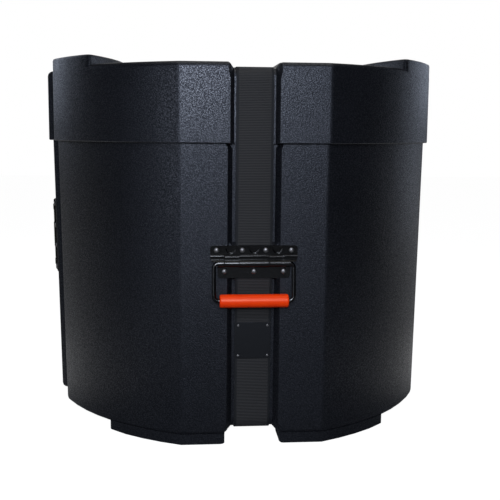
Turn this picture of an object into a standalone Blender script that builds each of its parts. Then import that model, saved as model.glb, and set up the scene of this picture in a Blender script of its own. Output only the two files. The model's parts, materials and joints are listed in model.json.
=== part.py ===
"""Moulded bass drum case: telescoping lid over a base, closing strap with buckle, two bail handles.

Metres, +Z up, front at -Y, right-hand side at +X. The case stands on the floor at z = 0.
Every size is a named value. Pieces that touch keep GAP between them.
"""
import math

import bmesh
import bpy
from mathutils import Matrix, Vector

MM = 0.001

# Fits and cutters
GAP = 0.3 * MM
OVERRUN = 2.0 * MM

# Turns of an outline or a surface, in degrees: below the first a corner stays as it is, below the
# second it takes the gentle radius, and above the third a shaded edge is sharp
SMOOTH_TURN_DEGREES = 12
GENTLE_TURN_DEGREES = 35
SHARP_EDGE_DEGREES = 32
MITER_LIMIT_SHARE = 0.5

# Plan of the lid: four flats joined by four curved diagonal faces
LID_FLAT = 290.0 * MM
FLAT_HALF = 103.0 * MM
DIAGONAL_RADIUS = 360.0 * MM
DIAGONAL_STEPS = 8
CREASE_RADIUS = 14.0 * MM

# Raised rib up each side face
RIB_PROUD = 17.0 * MM
RIB_FACE_HALF = 35.0 * MM
RIB_FOOT_HALF = 43.0 * MM
RIB_EDGE_RADIUS = 5.0 * MM

# Heights
BASE_BOTTOM = 13.0 * MM
LID_TOP = 531.0 * MM
LID_SKIRT = 108.0 * MM
LID_EDGE = LID_TOP - LID_SKIRT
BLOCK_RISE = 14.0 * MM

# Base shell
BODY_INSET = 6.0 * MM
BODY_TAPER = 6.0 * MM
BASE_WALL = 5.0 * MM
BASE_FLOOR = 6.0 * MM
BASE_EDGE_RADIUS = 8.0 * MM
RIM_EASE = 3.0 * MM
NOTCH_PLAY_SHARE = 0.8
FOOT_BAND = 55.0 * MM
FOOT_ROOT = 3.0 * MM
FOOT_EASE = 2.0 * MM
FOOT_CORNER = 5.0 * MM
FOOT_INSET = 0.6 * MM

# Lid shell
LID_WALL = 4.5 * MM
LID_ROOF = 5.0 * MM
LID_EDGE_RADIUS = 8.0 * MM
LID_EASE = 1.2 * MM
BLOCK_CURVE = 480.0 * MM
BLOCK_WAIST = 181.0 * MM
BLOCK_CORNER = 5.0 * MM
BLOCK_EASE = 4.0 * MM
BLOCK_INSET = 0.6 * MM
BLOCK_ROOT = 14.0 * MM
BLOCK_STEPS = 10

# Strap channel round the case
BASE_CHANNEL_DEPTH = 10.0 * MM
BASE_CHANNEL_FLOOR_HALF = 29.5 * MM
BASE_CHANNEL_MOUTH_HALF = 35.5 * MM
UNDER_CHANNEL_DEPTH = 8.0 * MM
LID_CHANNEL_DEPTH = 9.0 * MM
ROOF_CHANNEL_DEPTH = 7.5 * MM
LID_CHANNEL_FLOOR_HALF = 28.0 * MM
LID_CHANNEL_MOUTH_HALF = 32.5 * MM
CHANNEL_MOUTH_EASE = 3.0 * MM
LIP_INNER_SHARE = 0.4
LIP_DEPTH_SHARE = 0.35
LIP_FLARE_SHARE = 1.2
CHANNEL_BEND = 14.0 * MM
NECK_STEP = 7.0 * MM
BEND_STEPS = 5

# Seat that closes the channel behind the front handle
SEAT_DEPTH = 2.6 * MM
SEAT_RAMP = 5.0 * MM
SEAT_MARGIN = 1.5 * MM

# Pocket in the lid's channel for the buckle
POCKET_DEPTH = 14.5 * MM
POCKET_HALF_WIDTH = 46.0 * MM
POCKET_HALF_LENGTH = 58.0 * MM
POCKET_RAMP = 12.0 * MM
POCKET_DIP_SHARE = 0.2

# Webbing
STRAP_WIDTH = 50.8 * MM
STRAP_THICK = 1.8 * MM
TAIL_LENGTH = 150.0 * MM
BACK_FREE_START = 60.0 * MM
LOOP_LENGTH = 60.0 * MM

# Foam
LINER_LEAST = 6.7 * MM
FLOOR_PAD_THICK = 22.0 * MM
LID_PAD_THICK = 22.0 * MM
LID_PAD_CLEARANCE = 4.0 * MM
LINER_TOP_DROP = 30.0 * MM
CAVITY_SIDES = 40

# Handle plate, measured from the bail's axis
FRONT_AXIS_Z = 260.0 * MM
SIDE_AXIS_Z = 268.0 * MM
SHEET = 1.5 * MM
PLATE_HALF = 60.0 * MM
PLATE_ABOVE_AXIS = 24.9 * MM
PLATE_BELOW_AXIS = 20.5 * MM
PLATE_SHOULDER = 3.6 * MM
LOWER_HALF = 50.0 * MM
PLATE_CORNER = 4.0 * MM
BEAD_ABOVE_AXIS = 10.2 * MM
BEAD_HALF = 2.0 * MM
BEAD_RISE = 2.2 * MM
BEAD_SHOULDER_SHARES = (0.6, 0.8)
KNUCKLE_SHARES = (0.16, 0.347, 0.653, 0.84)
KNUCKLE_STEP = 0.4 * MM
KNUCKLE_SLOPE = 1.2 * MM
BARREL_STEPS = 5
DIMPLE_RADIUS = 6.2 * MM
DIMPLE_DEPTH = 0.6 * MM
DIMPLE_SIDES = 20
DIMPLE_PITCH = 32.0 * MM
DIMPLE_ABOVE_AXIS = 20.1 * MM

# Handle rivets
RIVET_HEAD_RADIUS = 3.8 * MM
RIVET_HEAD_RISE = 2.3 * MM
RIVET_SHANK_RADIUS = 2.4 * MM
RIVET_BITE = 4.4 * MM
RIVET_SIDES = 10
DOME_SHOULDER_SHARES = (0.8, 0.65)
UPPER_RIVET_X = (51.5 * MM, 16.1 * MM)
UPPER_RIVET_ABOVE_AXIS = 18.3 * MM
LOWER_RIVET_X = 40.8 * MM
LOWER_RIVET_BELOW_AXIS = 11.0 * MM

# Bail and grip
ROD_RADIUS = 2.75 * MM
ROD_SIDES = 10
ROD_RUNNING = 0.45 * MM
BAIL_HALF = 55.0 * MM
BAIL_DROP = 51.2 * MM
BAIL_BEND = 7.4 * MM
BAIL_BEND_STEPS = 5
EAR_BEND = 5.5 * MM
EAR_BEND_STEPS = 4
PIVOT_LENGTH = 14.0 * MM
GRIP_HALF = 47.5 * MM
GRIP_RADIUS = 9.2 * MM
GRIP_EASE = 1.6 * MM
GRIP_SHOULDER_SHARES = (0.3, 0.4, 1.2)
GRIP_SIDES = 20

# Badge
BADGE_Z = 149.5 * MM
BADGE_HALF_WIDTH = 24.5 * MM
BADGE_HALF_HEIGHT = 25.5 * MM
BADGE_THICK = 1.2 * MM
BADGE_CORNER = 2.0 * MM
BADGE_RIVET_MARGIN = 4.0 * MM
BADGE_RIVET_RADIUS = 2.0 * MM
BADGE_RIVET_RISE = 1.0 * MM
BADGE_SHANK_RADIUS = 1.2 * MM
BADGE_BITE = 3.5 * MM

# Buckle in the lid's pocket
BUCKLE_HALF = 31.0 * MM
BUCKLE_THICK = 13.0 * MM
BUCKLE_EASE = 2.5 * MM
BUCKLE_CORNER = 3.0 * MM
BUCKLE_SHIFT = 8.0 * MM
SOCKET_LENGTH = 52.0 * MM
PLUG_LENGTH = 32.0 * MM
BAR_LENGTH = 6.0 * MM
BAR_HALF_THICK = 2.0 * MM
BAR_ROUND_SHARE = 0.9
BAR_TURN_STEPS = 6
SLOT_LENGTH = 8.0 * MM
SLOT_HALF = 26.4 * MM
SOCKET_SIDE = 3.0 * MM
SOCKET_SKIN = 2.4 * MM
SOCKET_DEPTH = 35.5 * MM
WINDOW_START = 18.0 * MM
WINDOW_LENGTH = 15.0 * MM
TONGUE_HALF = 5.0 * MM
TONGUE_LENGTH = 31.0 * MM
ARM_THICK = 4.0 * MM
ARM_ROOT_X = 20.0 * MM
ARM_HEAD_LENGTH = 13.5 * MM
ARM_NOSE_SHARES = (0.45, 0.3)
ARM_CORNER = 1.2 * MM
ARM_PLAY = 0.6 * MM


def wall_inset(z):
    """How far the base's outside lies inside the lid's plan at height z."""
    slope = BODY_TAPER / (LID_EDGE - BASE_BOTTOM)
    return BODY_INSET + max(0.0, LID_EDGE - z) * slope


def wall_lean():
    """Angle by which the base's wall leans outward on its way up."""
    return math.atan(BODY_TAPER / (LID_EDGE - BASE_BOTTOM))


def roof_level():
    """Underside of the lid's roof."""
    return LID_TOP - LID_ROOF


def rim_level():
    """Top of the base's rim, just under the lid's roof."""
    return roof_level() - GAP


# Outlines


def rounded(corners, radius, gentle_radius=0.0, steps=2):
    """A closed outline whose corners become arcs; a gentle turn may have a radius of its own."""
    outline = []
    count = len(corners)
    for i, here in enumerate(corners):
        before = Vector(corners[i - 1])
        after = Vector(corners[(i + 1) % count])
        here = Vector(here)
        incoming = (here - before).normalized()
        outgoing = (after - here).normalized()
        turn = math.acos(max(-1.0, min(1.0, incoming.dot(outgoing))))
        gentle = turn < math.radians(GENTLE_TURN_DEGREES)
        reach = (gentle_radius if gentle else radius) * math.tan(turn / 2)
        limit = min((here - before).length, (after - here).length) / 2
        if turn < math.radians(SMOOTH_TURN_DEGREES) or reach <= 0:
            outline.append(tuple(here))
            continue
        reach = min(reach, limit)
        start, end = here - incoming * reach, here + outgoing * reach
        for k in range(steps + 1):
            t = k / steps
            point = start * (1 - t) ** 2 + here * 2 * t * (1 - t) + end * t**2
            outline.append(tuple(point))
    return outline


def diagonal_center():
    """Distance along -X and +Y from the axis to the centre of the front right curved face."""
    a, w, r = LID_FLAT, FLAT_HALF, DIAGONAL_RADIUS
    total = a + w
    return (-total + math.sqrt(total**2 - 2 * (a**2 + w**2 - r**2))) / 2


def crease_angle(inset):
    """Direction of the front crease of the front right face, seen from that face's centre."""
    shift = diagonal_center()
    flat = LID_FLAT - inset + shift
    return -math.asin(flat / (DIAGONAL_RADIUS - inset))


def diagonal_arc(inset, start=None, end=None, steps=DIAGONAL_STEPS):
    """Front right curved face, from the front flat to the right flat unless told otherwise."""
    shift = diagonal_center()
    radius = DIAGONAL_RADIUS - inset
    start = crease_angle(inset) if start is None else start
    end = -math.pi / 2 - crease_angle(inset) if end is None else end
    return [
        (-shift + radius * math.cos(angle), shift + radius * math.sin(angle))
        for angle in (start + (end - start) * k / steps for k in range(steps + 1))
    ]


def rib_corners(inset):
    """Front half of the right rib, from its foot on the flat to its face."""
    slant = (RIB_FOOT_HALF - RIB_FACE_HALF) / RIB_PROUD
    shrink = inset * (math.sqrt(1 + slant**2) - slant)
    flat = LID_FLAT - inset
    return [(flat, -RIB_FOOT_HALF + shrink), (flat + RIB_PROUD, -RIB_FACE_HALF + shrink)]


def mirrored(quarter):
    """Full outline, counter-clockwise, from the front right quarter."""
    right = quarter + [(x, -y) for x, y in reversed(quarter)]
    return right + [(-x, y) for x, y in reversed(right)]


def plan(inset, ribs=True):
    """Outline of the case at one level, drawn in by inset."""
    corners = diagonal_arc(inset) + (rib_corners(inset) if ribs else [])
    return rounded(mirrored(corners), RIB_EDGE_RADIUS, CREASE_RADIUS)


def circles_meet(center_a, radius_a, center_b, radius_b):
    """The meeting point of two circles with the lower y."""
    a, b = Vector(center_a), Vector(center_b)
    span = (b - a).length
    along = (radius_a**2 - radius_b**2 + span**2) / (2 * span)
    height = math.sqrt(radius_a**2 - along**2)
    direction = (b - a) / span
    side = Vector((-direction.y, direction.x))
    options = [a + direction * along + side * height, a + direction * along - side * height]
    return min(options, key=lambda p: p.y)


def block_plan(inset):
    """Right stacking block on the lid, drawn in by inset."""
    shift = diagonal_center()
    center = (BLOCK_WAIST + BLOCK_CURVE, 0.0)
    radius = BLOCK_CURVE - inset
    corner = circles_meet((-shift, shift), DIAGONAL_RADIUS - inset, center, radius)
    start = math.atan2(corner.y - shift, corner.x + shift)
    half = diagonal_arc(inset, start=start, steps=DIAGONAL_STEPS // 2)
    sweep = math.asin(-corner.y / radius)
    inner = []
    for k in range(1, BLOCK_STEPS):
        angle = sweep * (1 - 2 * k / BLOCK_STEPS)
        inner.append((center[0] - radius * math.cos(angle), radius * math.sin(angle)))
    outline = half + [(x, -y) for x, y in reversed(half)] + inner
    return rounded(outline, BLOCK_CORNER)


def foot_plan(inset):
    """Front right foot, from the channel's edge to the middle of the curved face."""
    outside = wall_inset(BASE_BOTTOM) + FOOT_INSET + inset
    arc = diagonal_arc(outside, end=-math.pi / 4, steps=DIAGONAL_STEPS // 2)
    band = FOOT_BAND - 2 * inset
    start_x = BASE_CHANNEL_MOUTH_HALF + CHANNEL_MOUTH_EASE + inset
    front = -(LID_FLAT - outside)
    end = Vector(arc[-1]) - Vector((inset, -inset)) * math.sqrt(0.5)
    arc = arc[:-1] + [tuple(end)]
    inward = end - Vector((band, -band)) * math.sqrt(0.5)
    return rounded(
        [(start_x, front)] + arc + [tuple(inward), (FLAT_HALF, front + band), (start_x, front + band)],
        FOOT_CORNER,
    )


# Meshes


def material(name, color, roughness, metallic=0.0):
    """A plain Principled BSDF finish."""
    made = bpy.data.materials.new(name)
    made.use_nodes = True
    shader = made.node_tree.nodes["Principled BSDF"]
    shader.inputs["Base Color"].default_value = (*color, 1.0)
    shader.inputs["Roughness"].default_value = roughness
    shader.inputs["Metallic"].default_value = metallic
    return made


def make(name, mesh_builder, finish=None, smooth_degrees=SHARP_EDGE_DEGREES):
    """A new object from a function that fills a bmesh."""
    work = bmesh.new()
    mesh_builder(work)
    bmesh.ops.recalc_face_normals(work, faces=work.faces)
    mesh = bpy.data.meshes.new(name)
    work.to_mesh(mesh)
    work.free()
    mesh.shade_smooth()
    mesh.set_sharp_from_angle(angle=math.radians(smooth_degrees))
    made = bpy.data.objects.new(name, mesh)
    bpy.context.scene.collection.objects.link(made)
    if finish:
        mesh.materials.append(finish)
    return made


def loft(name, rings, finish=None, closed=False):
    """A solid through rings of equal length; closed joins the last ring to the first."""

    def build(work):
        loops = [[work.verts.new(point) for point in ring] for ring in rings]
        count = len(loops[0])
        pairs = list(zip(loops, loops[1:]))
        if closed:
            pairs.append((loops[-1], loops[0]))
        for low, high in pairs:
            for i in range(count):
                j = (i + 1) % count
                work.faces.new((low[i], low[j], high[j], high[i]))
        if not closed:
            work.faces.new(list(reversed(loops[0])))
            work.faces.new(loops[-1])

    return make(name, build, finish)


def stack(name, outline_of, levels, finish=None):
    """A loft up Z: levels are (height, inset) pairs of one outline function."""
    return loft(
        name, [[(x, y, z) for x, y in outline_of(inset)] for z, inset in levels], finish
    )


def edge_levels(start, radius, base_inset, upward, steps=2):
    """Levels of a rounded horizontal edge that ends at the height start + radius, or - radius."""
    levels = []
    for k in range(steps + 1):
        angle = math.pi / 2 * k / steps
        rise = radius * math.sin(angle)
        levels.append((start + (rise if upward else -rise), base_inset + radius * (1 - math.cos(angle))))
    return levels if upward else levels[::-1]


def box(name, low, high, finish=None, ease=0.0):
    """A block between two corners, its edges eased where asked."""
    low, high = Vector(low), Vector(high)

    def build(work):
        bmesh.ops.create_cube(work, size=1.0)
        for vert in work.verts:
            for axis in range(3):
                vert.co[axis] = high[axis] if vert.co[axis] > 0 else low[axis]
        if ease:
            bmesh.ops.bevel(
                work, geom=work.edges[:], offset=ease, segments=2, profile=0.5, affect="EDGES"
            )

    return make(name, build, finish)


def turned(name, profile, sides, finish=None):
    """A solid of revolution about Z from a closed (radius, height) profile; radius 0 is a pole."""

    def build(work):
        rings = []
        for radius, height in profile:
            if radius == 0:
                rings.append([work.verts.new((0, 0, height))])
                continue
            rings.append(
                [
                    work.verts.new(
                        (
                            radius * math.cos(2 * math.pi * k / sides),
                            radius * math.sin(2 * math.pi * k / sides),
                            height,
                        )
                    )
                    for k in range(sides)
                ]
            )
        ring_pairs = list(zip(rings, rings[1:]))
        if profile[0][0] and profile[-1][0]:
            ring_pairs.append((rings[-1], rings[0]))
        for a, b in ring_pairs:
            for k in range(sides):
                j = (k + 1) % sides
                corners = [a[k % len(a)], a[j % len(a)], b[j % len(b)], b[k % len(b)]]
                unique = list(dict.fromkeys(corners))
                work.faces.new(unique)

    return make(name, build, finish)


def miter_normals(path):
    """In-plane normals of an open path of 2D points, lengthened at bends to keep the width."""
    normals = []
    for i in range(len(path)):
        before = Vector(path[max(i - 1, 0)])
        here = Vector(path[i])
        after = Vector(path[min(i + 1, len(path) - 1)])
        incoming = here - before if i else after - here
        outgoing = after - here if i < len(path) - 1 else here - before
        first = Vector((-incoming.y, incoming.x)).normalized()
        second = Vector((-outgoing.y, outgoing.x)).normalized()
        total = (first + second).normalized()
        normals.append(total / max(total.dot(first), MITER_LIMIT_SHARE))
    return normals


def ribbon(name, path, finish):
    """Flat webbing along a path of (y, z) points at mid-thickness, square across X."""
    rings = []
    for (y, z), normal in zip(path, miter_normals(path)):
        step = normal * STRAP_THICK / 2
        rings.append(
            [
                (-STRAP_WIDTH / 2, y - step.x, z - step.y),
                (STRAP_WIDTH / 2, y - step.x, z - step.y),
                (STRAP_WIDTH / 2, y + step.x, z + step.y),
                (-STRAP_WIDTH / 2, y + step.x, z + step.y),
            ]
        )
    return loft(name, rings, finish)


def tube(name, path, radius, sides, finish):
    """A round rod along a path of (x, z) points in the plane y = 0."""
    rings = []
    for (x, z), normal in zip(path, miter_normals(path)):
        ring = []
        for k in range(sides):
            angle = 2 * math.pi * k / sides
            side = normal * radius * math.cos(angle)
            ring.append((x + side.x, radius * math.sin(angle), z + side.y))
        rings.append(ring)
    return loft(name, rings, finish)


def bend(center, radius, start_degrees, end_degrees, steps):
    """Points of a circular bend, ends included."""
    points = []
    for k in range(steps + 1):
        angle = math.radians(start_degrees + (end_degrees - start_degrees) * k / steps)
        points.append((center[0] + radius * math.cos(angle), center[1] + radius * math.sin(angle)))
    return points


def combine(target, tool, operation):
    """Apply an exact Boolean of tool on target, and remove the tool."""
    step = target.modifiers.new(operation.lower(), "BOOLEAN")
    step.operation = operation
    step.solver = "EXACT"
    step.object = tool
    bpy.context.view_layer.update()
    depsgraph = bpy.context.evaluated_depsgraph_get()
    result = bpy.data.meshes.new_from_object(target.evaluated_get(depsgraph))
    target.modifiers.clear()
    old = target.data
    target.data = result
    result.name = old.name
    bpy.data.meshes.remove(old)
    bpy.data.objects.remove(tool)
    return target


def joined(name, pieces):
    """One object that holds several separate cutters."""
    work = bmesh.new()
    for piece in pieces:
        copy = piece.data.copy()
        copy.transform(piece.matrix_world)
        work.from_mesh(copy)
        bpy.data.meshes.remove(copy)
        bpy.data.objects.remove(piece)
    mesh = bpy.data.meshes.new(name)
    work.to_mesh(mesh)
    work.free()
    made = bpy.data.objects.new(name, mesh)
    bpy.context.scene.collection.objects.link(made)
    return made


def place(item, matrix):
    """Give an object its place and keep the matrix up to date for later cuts."""
    item.matrix_world = matrix
    bpy.context.view_layer.update()
    return item


# Strap channel


class Station:
    """One place along the strap channel: a point on the outer wall, its normal and the section there.
    over is how far a cutter reaches past the wall."""

    def __init__(self, y, z, normal, depth, floor_half, mouth_half, over=2 * OVERRUN):
        self.point = Vector((y, z))
        self.normal = Vector(normal).normalized()
        self.depth, self.floor_half, self.mouth_half = depth, floor_half, mouth_half
        self.over = over

    def section(self, grow):
        """Ring of the channel's void, swollen by grow into the wall."""
        ease = CHANNEL_MOUTH_EASE
        heights = (
            (self.floor_half + grow, -self.depth - grow),
            (self.mouth_half - ease * LIP_INNER_SHARE + grow, -ease - grow),
            (self.mouth_half + grow, -ease * LIP_DEPTH_SHARE - grow),
            (self.mouth_half + ease * LIP_FLARE_SHARE + grow, OVERRUN - grow),
            (self.mouth_half + ease * LIP_FLARE_SHARE + grow, self.over),
        )
        ring = []
        for side in (1, -1):
            for x, height in heights if side == 1 else reversed(heights):
                spot = self.point + self.normal * height
                ring.append((side * x, spot.x, spot.y))
        return ring


def base_wall_y(z):
    """Distance from the axis to the base's front or back flat at height z."""
    return LID_FLAT - wall_inset(z)


def seat_levels():
    """Lower and upper end of the seat behind the front handle."""
    return (
        FRONT_AXIS_Z - PLATE_BELOW_AXIS + SEAT_MARGIN,
        FRONT_AXIS_Z + PLATE_ABOVE_AXIS - SEAT_MARGIN,
    )


def bend_stations(corner_y, corner_z, side, depth_start, depth_end, half_sizes):
    """Stations round one outer edge of the shell; side is -1 at the front, and the bend runs downward
    or upward from the wall to the flat top or underside."""
    stations = []
    upward = 1 if corner_z > LID_EDGE else -1
    radius = CHANNEL_BEND
    for k in range(BEND_STEPS + 1):
        angle = math.pi / 2 * k / BEND_STEPS
        normal = (side * math.cos(angle), upward * math.sin(angle))
        depth = depth_start + (depth_end - depth_start) * k / BEND_STEPS
        center_y = side * (corner_y - depth_start - radius)
        center_z = corner_z - upward * (depth_end + radius)
        reach = radius + depth
        stations.append(
            Station(
                center_y + normal[0] * reach,
                center_z + normal[1] * reach,
                normal,
                depth,
                *half_sizes,
                over=OVERRUN + radius,
            )
        )
    return stations


def base_half_run(side):
    """Stations of the base's channel from the rim down to the underside, on one side of the case."""
    wide = (
        LID_CHANNEL_FLOOR_HALF + BODY_INSET,
        LID_CHANNEL_MOUTH_HALF + BODY_INSET,
    )
    narrow = (BASE_CHANNEL_FLOOR_HALF, BASE_CHANNEL_MOUTH_HALF)
    stations = []

    def add(z, depth, halves):
        stations.append(Station(side * base_wall_y(z), z, (side, 0.0), depth, *halves))

    add(rim_level() + OVERRUN, LID_CHANNEL_DEPTH, wide)
    add(LID_EDGE - GAP, LID_CHANNEL_DEPTH, wide)
    add(LID_EDGE - NECK_STEP, BASE_CHANNEL_DEPTH, narrow)
    if side < 0:
        low, high = seat_levels()
        add(high + SEAT_RAMP, BASE_CHANNEL_DEPTH, narrow)
        add(high, SEAT_DEPTH, narrow)
        add(low, SEAT_DEPTH, narrow)
        add(low - SEAT_RAMP, BASE_CHANNEL_DEPTH, narrow)
    bottom = bend_stations(
        base_wall_y(BASE_BOTTOM + CHANNEL_BEND),
        BASE_BOTTOM,
        side,
        BASE_CHANNEL_DEPTH,
        UNDER_CHANNEL_DEPTH,
        narrow,
    )
    return stations + bottom


def lid_half_run(side):
    """Stations of the lid's channel from its lower edge up to the middle of the roof."""
    halves = (LID_CHANNEL_FLOOR_HALF, LID_CHANNEL_MOUTH_HALF)
    pocket = (POCKET_HALF_WIDTH, POCKET_HALF_WIDTH + CHANNEL_MOUTH_EASE)
    edge = Station(side * LID_FLAT, LID_EDGE - OVERRUN, (side, 0.0), LID_CHANNEL_DEPTH, *halves)
    stations = [edge] + bend_stations(
        LID_FLAT, LID_TOP, side, LID_CHANNEL_DEPTH, ROOF_CHANNEL_DEPTH, halves
    )
    for y, depth, widths in (
        (POCKET_HALF_LENGTH + POCKET_RAMP, ROOF_CHANNEL_DEPTH, halves),
        (POCKET_HALF_LENGTH, POCKET_DEPTH, pocket),
    ):
        stations.append(Station(side * y, LID_TOP, (0.0, 1.0), depth, *widths))
    return stations


def channel_cutter(name, half_run, grow):
    """The void of the strap's channel all round one shell, swollen by grow."""
    stations = half_run(-1) + half_run(1)[::-1]
    return loft(name, [station.section(grow) for station in stations])


# Shells


def base_levels(inset):
    """Levels of the base's outline, drawn in by inset, from the bottom edge to the rim."""
    radius = BASE_EDGE_RADIUS
    steps = 1 if inset else 3
    bottom = BASE_BOTTOM + (BASE_FLOOR if inset else 0.0)
    levels = [
        (z, wall_inset(z) + inset + turn)
        for z, turn in edge_levels(bottom + radius, radius, 0.0, upward=False, steps=steps)
    ]
    levels.append((LID_EDGE, BODY_INSET + inset))
    if inset:
        levels.append((rim_level() + OVERRUN, BODY_INSET + inset))
    else:
        levels.append((rim_level() - RIM_EASE, BODY_INSET))
        levels.append((rim_level(), BODY_INSET + RIM_EASE))
    return levels


def base_shell(finish):
    """Deep tub with four feet, the strap's channel and a rim that stands under the lid."""
    shell = stack("base_shell", plan, base_levels(0.0), finish)
    feet = []
    for sx in (1, -1):
        for sy in (1, -1):
            foot = stack(
                "foot",
                foot_plan,
                [(0.0, FOOT_EASE), (FOOT_EASE, 0.0), (BASE_BOTTOM + FOOT_ROOT, 0.0)],
            )
            mirror = Matrix.Diagonal((sx, sy, 1, 1))
            foot.data.transform(mirror)
            if sx * sy < 0:
                foot.data.flip_normals()
            feet.append(foot)
    combine(shell, joined("feet", feet), "UNION")
    combine(shell, channel_cutter("base_channel", base_half_run, 0.0), "DIFFERENCE")
    void = stack("base_void", plan, base_levels(BASE_WALL))
    combine(void, channel_cutter("base_bulge", base_half_run, BASE_WALL), "DIFFERENCE")
    combine(shell, void, "DIFFERENCE")
    notch = LID_WALL + (BODY_INSET - LID_WALL) * NOTCH_PLAY_SHARE
    return combine(shell, channel_cutter("rim_notch", lid_half_run, notch), "DIFFERENCE")


def lid_shell(finish):
    """Cap over the base's neck, with two hollow stacking blocks and the buckle's pocket."""
    top_edge = edge_levels(LID_TOP - LID_EDGE_RADIUS, LID_EDGE_RADIUS, 0.0, upward=True, steps=3)
    shell = stack(
        "lid_shell", plan, [(LID_EDGE, LID_EASE), (LID_EDGE + LID_EASE, 0.0)] + top_edge, finish
    )
    inner_radius = max(LID_EDGE_RADIUS - LID_WALL, GAP)
    void = stack(
        "lid_void",
        plan,
        [(LID_EDGE - OVERRUN, LID_WALL)]
        + edge_levels(roof_level() - inner_radius, inner_radius, LID_WALL, upward=True, steps=1),
    )
    block_top = LID_TOP + BLOCK_RISE
    for turn in (0.0, math.pi):
        block = stack(
            "block",
            block_plan,
            [(LID_TOP - BLOCK_ROOT, BLOCK_INSET)]
            + edge_levels(block_top - BLOCK_EASE, BLOCK_EASE, BLOCK_INSET, upward=True),
        )
        hollow = stack(
            "hollow",
            block_plan,
            [
                (roof_level() - BLOCK_ROOT, BLOCK_INSET + LID_ROOF),
                (block_top - LID_ROOF - BLOCK_EASE, BLOCK_INSET + LID_ROOF),
                (block_top - LID_ROOF, BLOCK_INSET + LID_ROOF + BLOCK_EASE),
            ],
        )
        for item in (block, hollow):
            item.data.transform(Matrix.Rotation(turn, 4, "Z"))
        combine(shell, block, "UNION")
        combine(void, hollow, "UNION")
    combine(shell, channel_cutter("lid_channel", lid_half_run, 0.0), "DIFFERENCE")
    combine(void, channel_cutter("lid_bulge", lid_half_run, LID_WALL), "DIFFERENCE")
    return combine(shell, void, "DIFFERENCE")


# Foam


def cavity_radius():
    """Radius of the drum's space: the liner is thinnest behind the strap's channel, low on the wall."""
    return base_wall_y(BASE_BOTTOM) - BASE_CHANNEL_DEPTH - BASE_WALL - GAP - LINER_LEAST


def disc(name, radius, low, high, finish=None):
    """A round block about the case's axis."""
    profile = [(0, low), (radius, low), (radius, high), (0, high)]
    return turned(name, profile, CAVITY_SIDES, finish)


def quarter_wedge(name, turn, low, high):
    """The quarter of the case round one direction, up to half a gap short of the diagonals."""
    apex = GAP / 2 * math.sqrt(2)
    reach = 2 * LID_FLAT
    outline = [(apex, 0.0), (apex + reach, -reach), (apex + reach, reach)]
    wedge = loft(name, [[(x, y, z) for x, y in outline] for z in (low, high)])
    wedge.data.transform(Matrix.Rotation(turn, 4, "Z"))
    return wedge


def wall_liner(levels, seat, finish):
    """Four foam panels round the drum's space, mitred at the diagonals."""
    low, high = levels[0][0] - OVERRUN, levels[-1][0] + OVERRUN
    panels = []
    for k, side in enumerate(("right", "back", "left", "front")):
        name = "base_wall_liner_" + side
        panel = stack(name, lambda inset: plan(inset, ribs=False), levels, finish)
        combine(panel, channel_cutter("liner_relief", base_half_run, seat), "DIFFERENCE")
        combine(panel, disc("drum_space", cavity_radius(), low, high), "DIFFERENCE")
        combine(panel, quarter_wedge("quarter", math.pi / 2 * k, low, high), "INTERSECT")
        panels.append(panel)
    return panels


def foam_pieces(finish):
    """Floor pad and wall liner of the base, and the pad under the lid's roof."""
    floor = BASE_BOTTOM + BASE_FLOOR + GAP
    radius = BASE_EDGE_RADIUS
    seat = BASE_WALL + GAP
    pad = disc("base_floor_pad", cavity_radius() - GAP, floor, floor + FLOOR_PAD_THICK, finish)
    combine(pad, channel_cutter("pad_relief", base_half_run, seat), "DIFFERENCE")
    levels = [
        (z, wall_inset(z) + seat + turn)
        for z, turn in edge_levels(floor + radius, radius, 0.0, upward=False, steps=1)
    ]
    liner_top = rim_level() - LINER_TOP_DROP
    levels += [(z, wall_inset(z) + seat) for z in (LID_EDGE, liner_top)]
    liner = wall_liner(levels, seat, finish)
    roof = roof_level() - GAP
    inset = BODY_INSET + BASE_WALL + LID_PAD_CLEARANCE
    lid_pad = stack(
        "lid_pad",
        lambda grow: plan(grow, ribs=False),
        [(roof - LID_PAD_THICK, inset), (roof, inset)],
        finish,
    )
    roof_clearance = LID_WALL + LID_PAD_CLEARANCE
    combine(lid_pad, channel_cutter("lid_pad_relief", lid_half_run, roof_clearance), "DIFFERENCE")
    neck_clearance = BASE_WALL + LID_PAD_CLEARANCE
    combine(lid_pad, channel_cutter("neck_relief", base_half_run, neck_clearance), "DIFFERENCE")
    return [pad, lid_pad] + liner


# Webbing


def strap_lift():
    """Height of the webbing's mid-plane above what it lies on."""
    return GAP + STRAP_THICK / 2


def base_strap_path():
    """Webbing fixed to the base: from above the front handle, down, under the base and up the back."""
    lift = strap_lift()
    path = []
    low, high = seat_levels()
    top = FRONT_AXIS_Z + PLATE_ABOVE_AXIS + SEAT_MARGIN
    for z, depth in ((top, SEAT_DEPTH), (high, SEAT_DEPTH), (low, SEAT_DEPTH)):
        path.append((-(base_wall_y(z) - depth + lift), z))
    badge_top = BADGE_Z + BADGE_HALF_HEIGHT + SEAT_RAMP
    for z in (badge_top, BADGE_Z - BADGE_HALF_HEIGHT):
        path.append((-(base_wall_y(z) - BASE_CHANNEL_DEPTH + lift), z))
    for side in (-1, 1):
        corner = []
        for station in bend_stations(
            base_wall_y(BASE_BOTTOM + CHANNEL_BEND),
            BASE_BOTTOM,
            side,
            BASE_CHANNEL_DEPTH,
            UNDER_CHANNEL_DEPTH,
            (0.0, 0.0),
        ):
            spot = station.point - station.normal * (station.depth - lift)
            corner.append((spot.x, spot.y))
        path += corner if side < 0 else corner[::-1]
    path.append((base_wall_y(BACK_FREE_START) - BASE_CHANNEL_DEPTH + lift, BACK_FREE_START))
    return path


def lid_strap_y():
    """Distance from the axis to the webbing on the lid's front and back."""
    return LID_FLAT - LID_CHANNEL_DEPTH + strap_lift()


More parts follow.
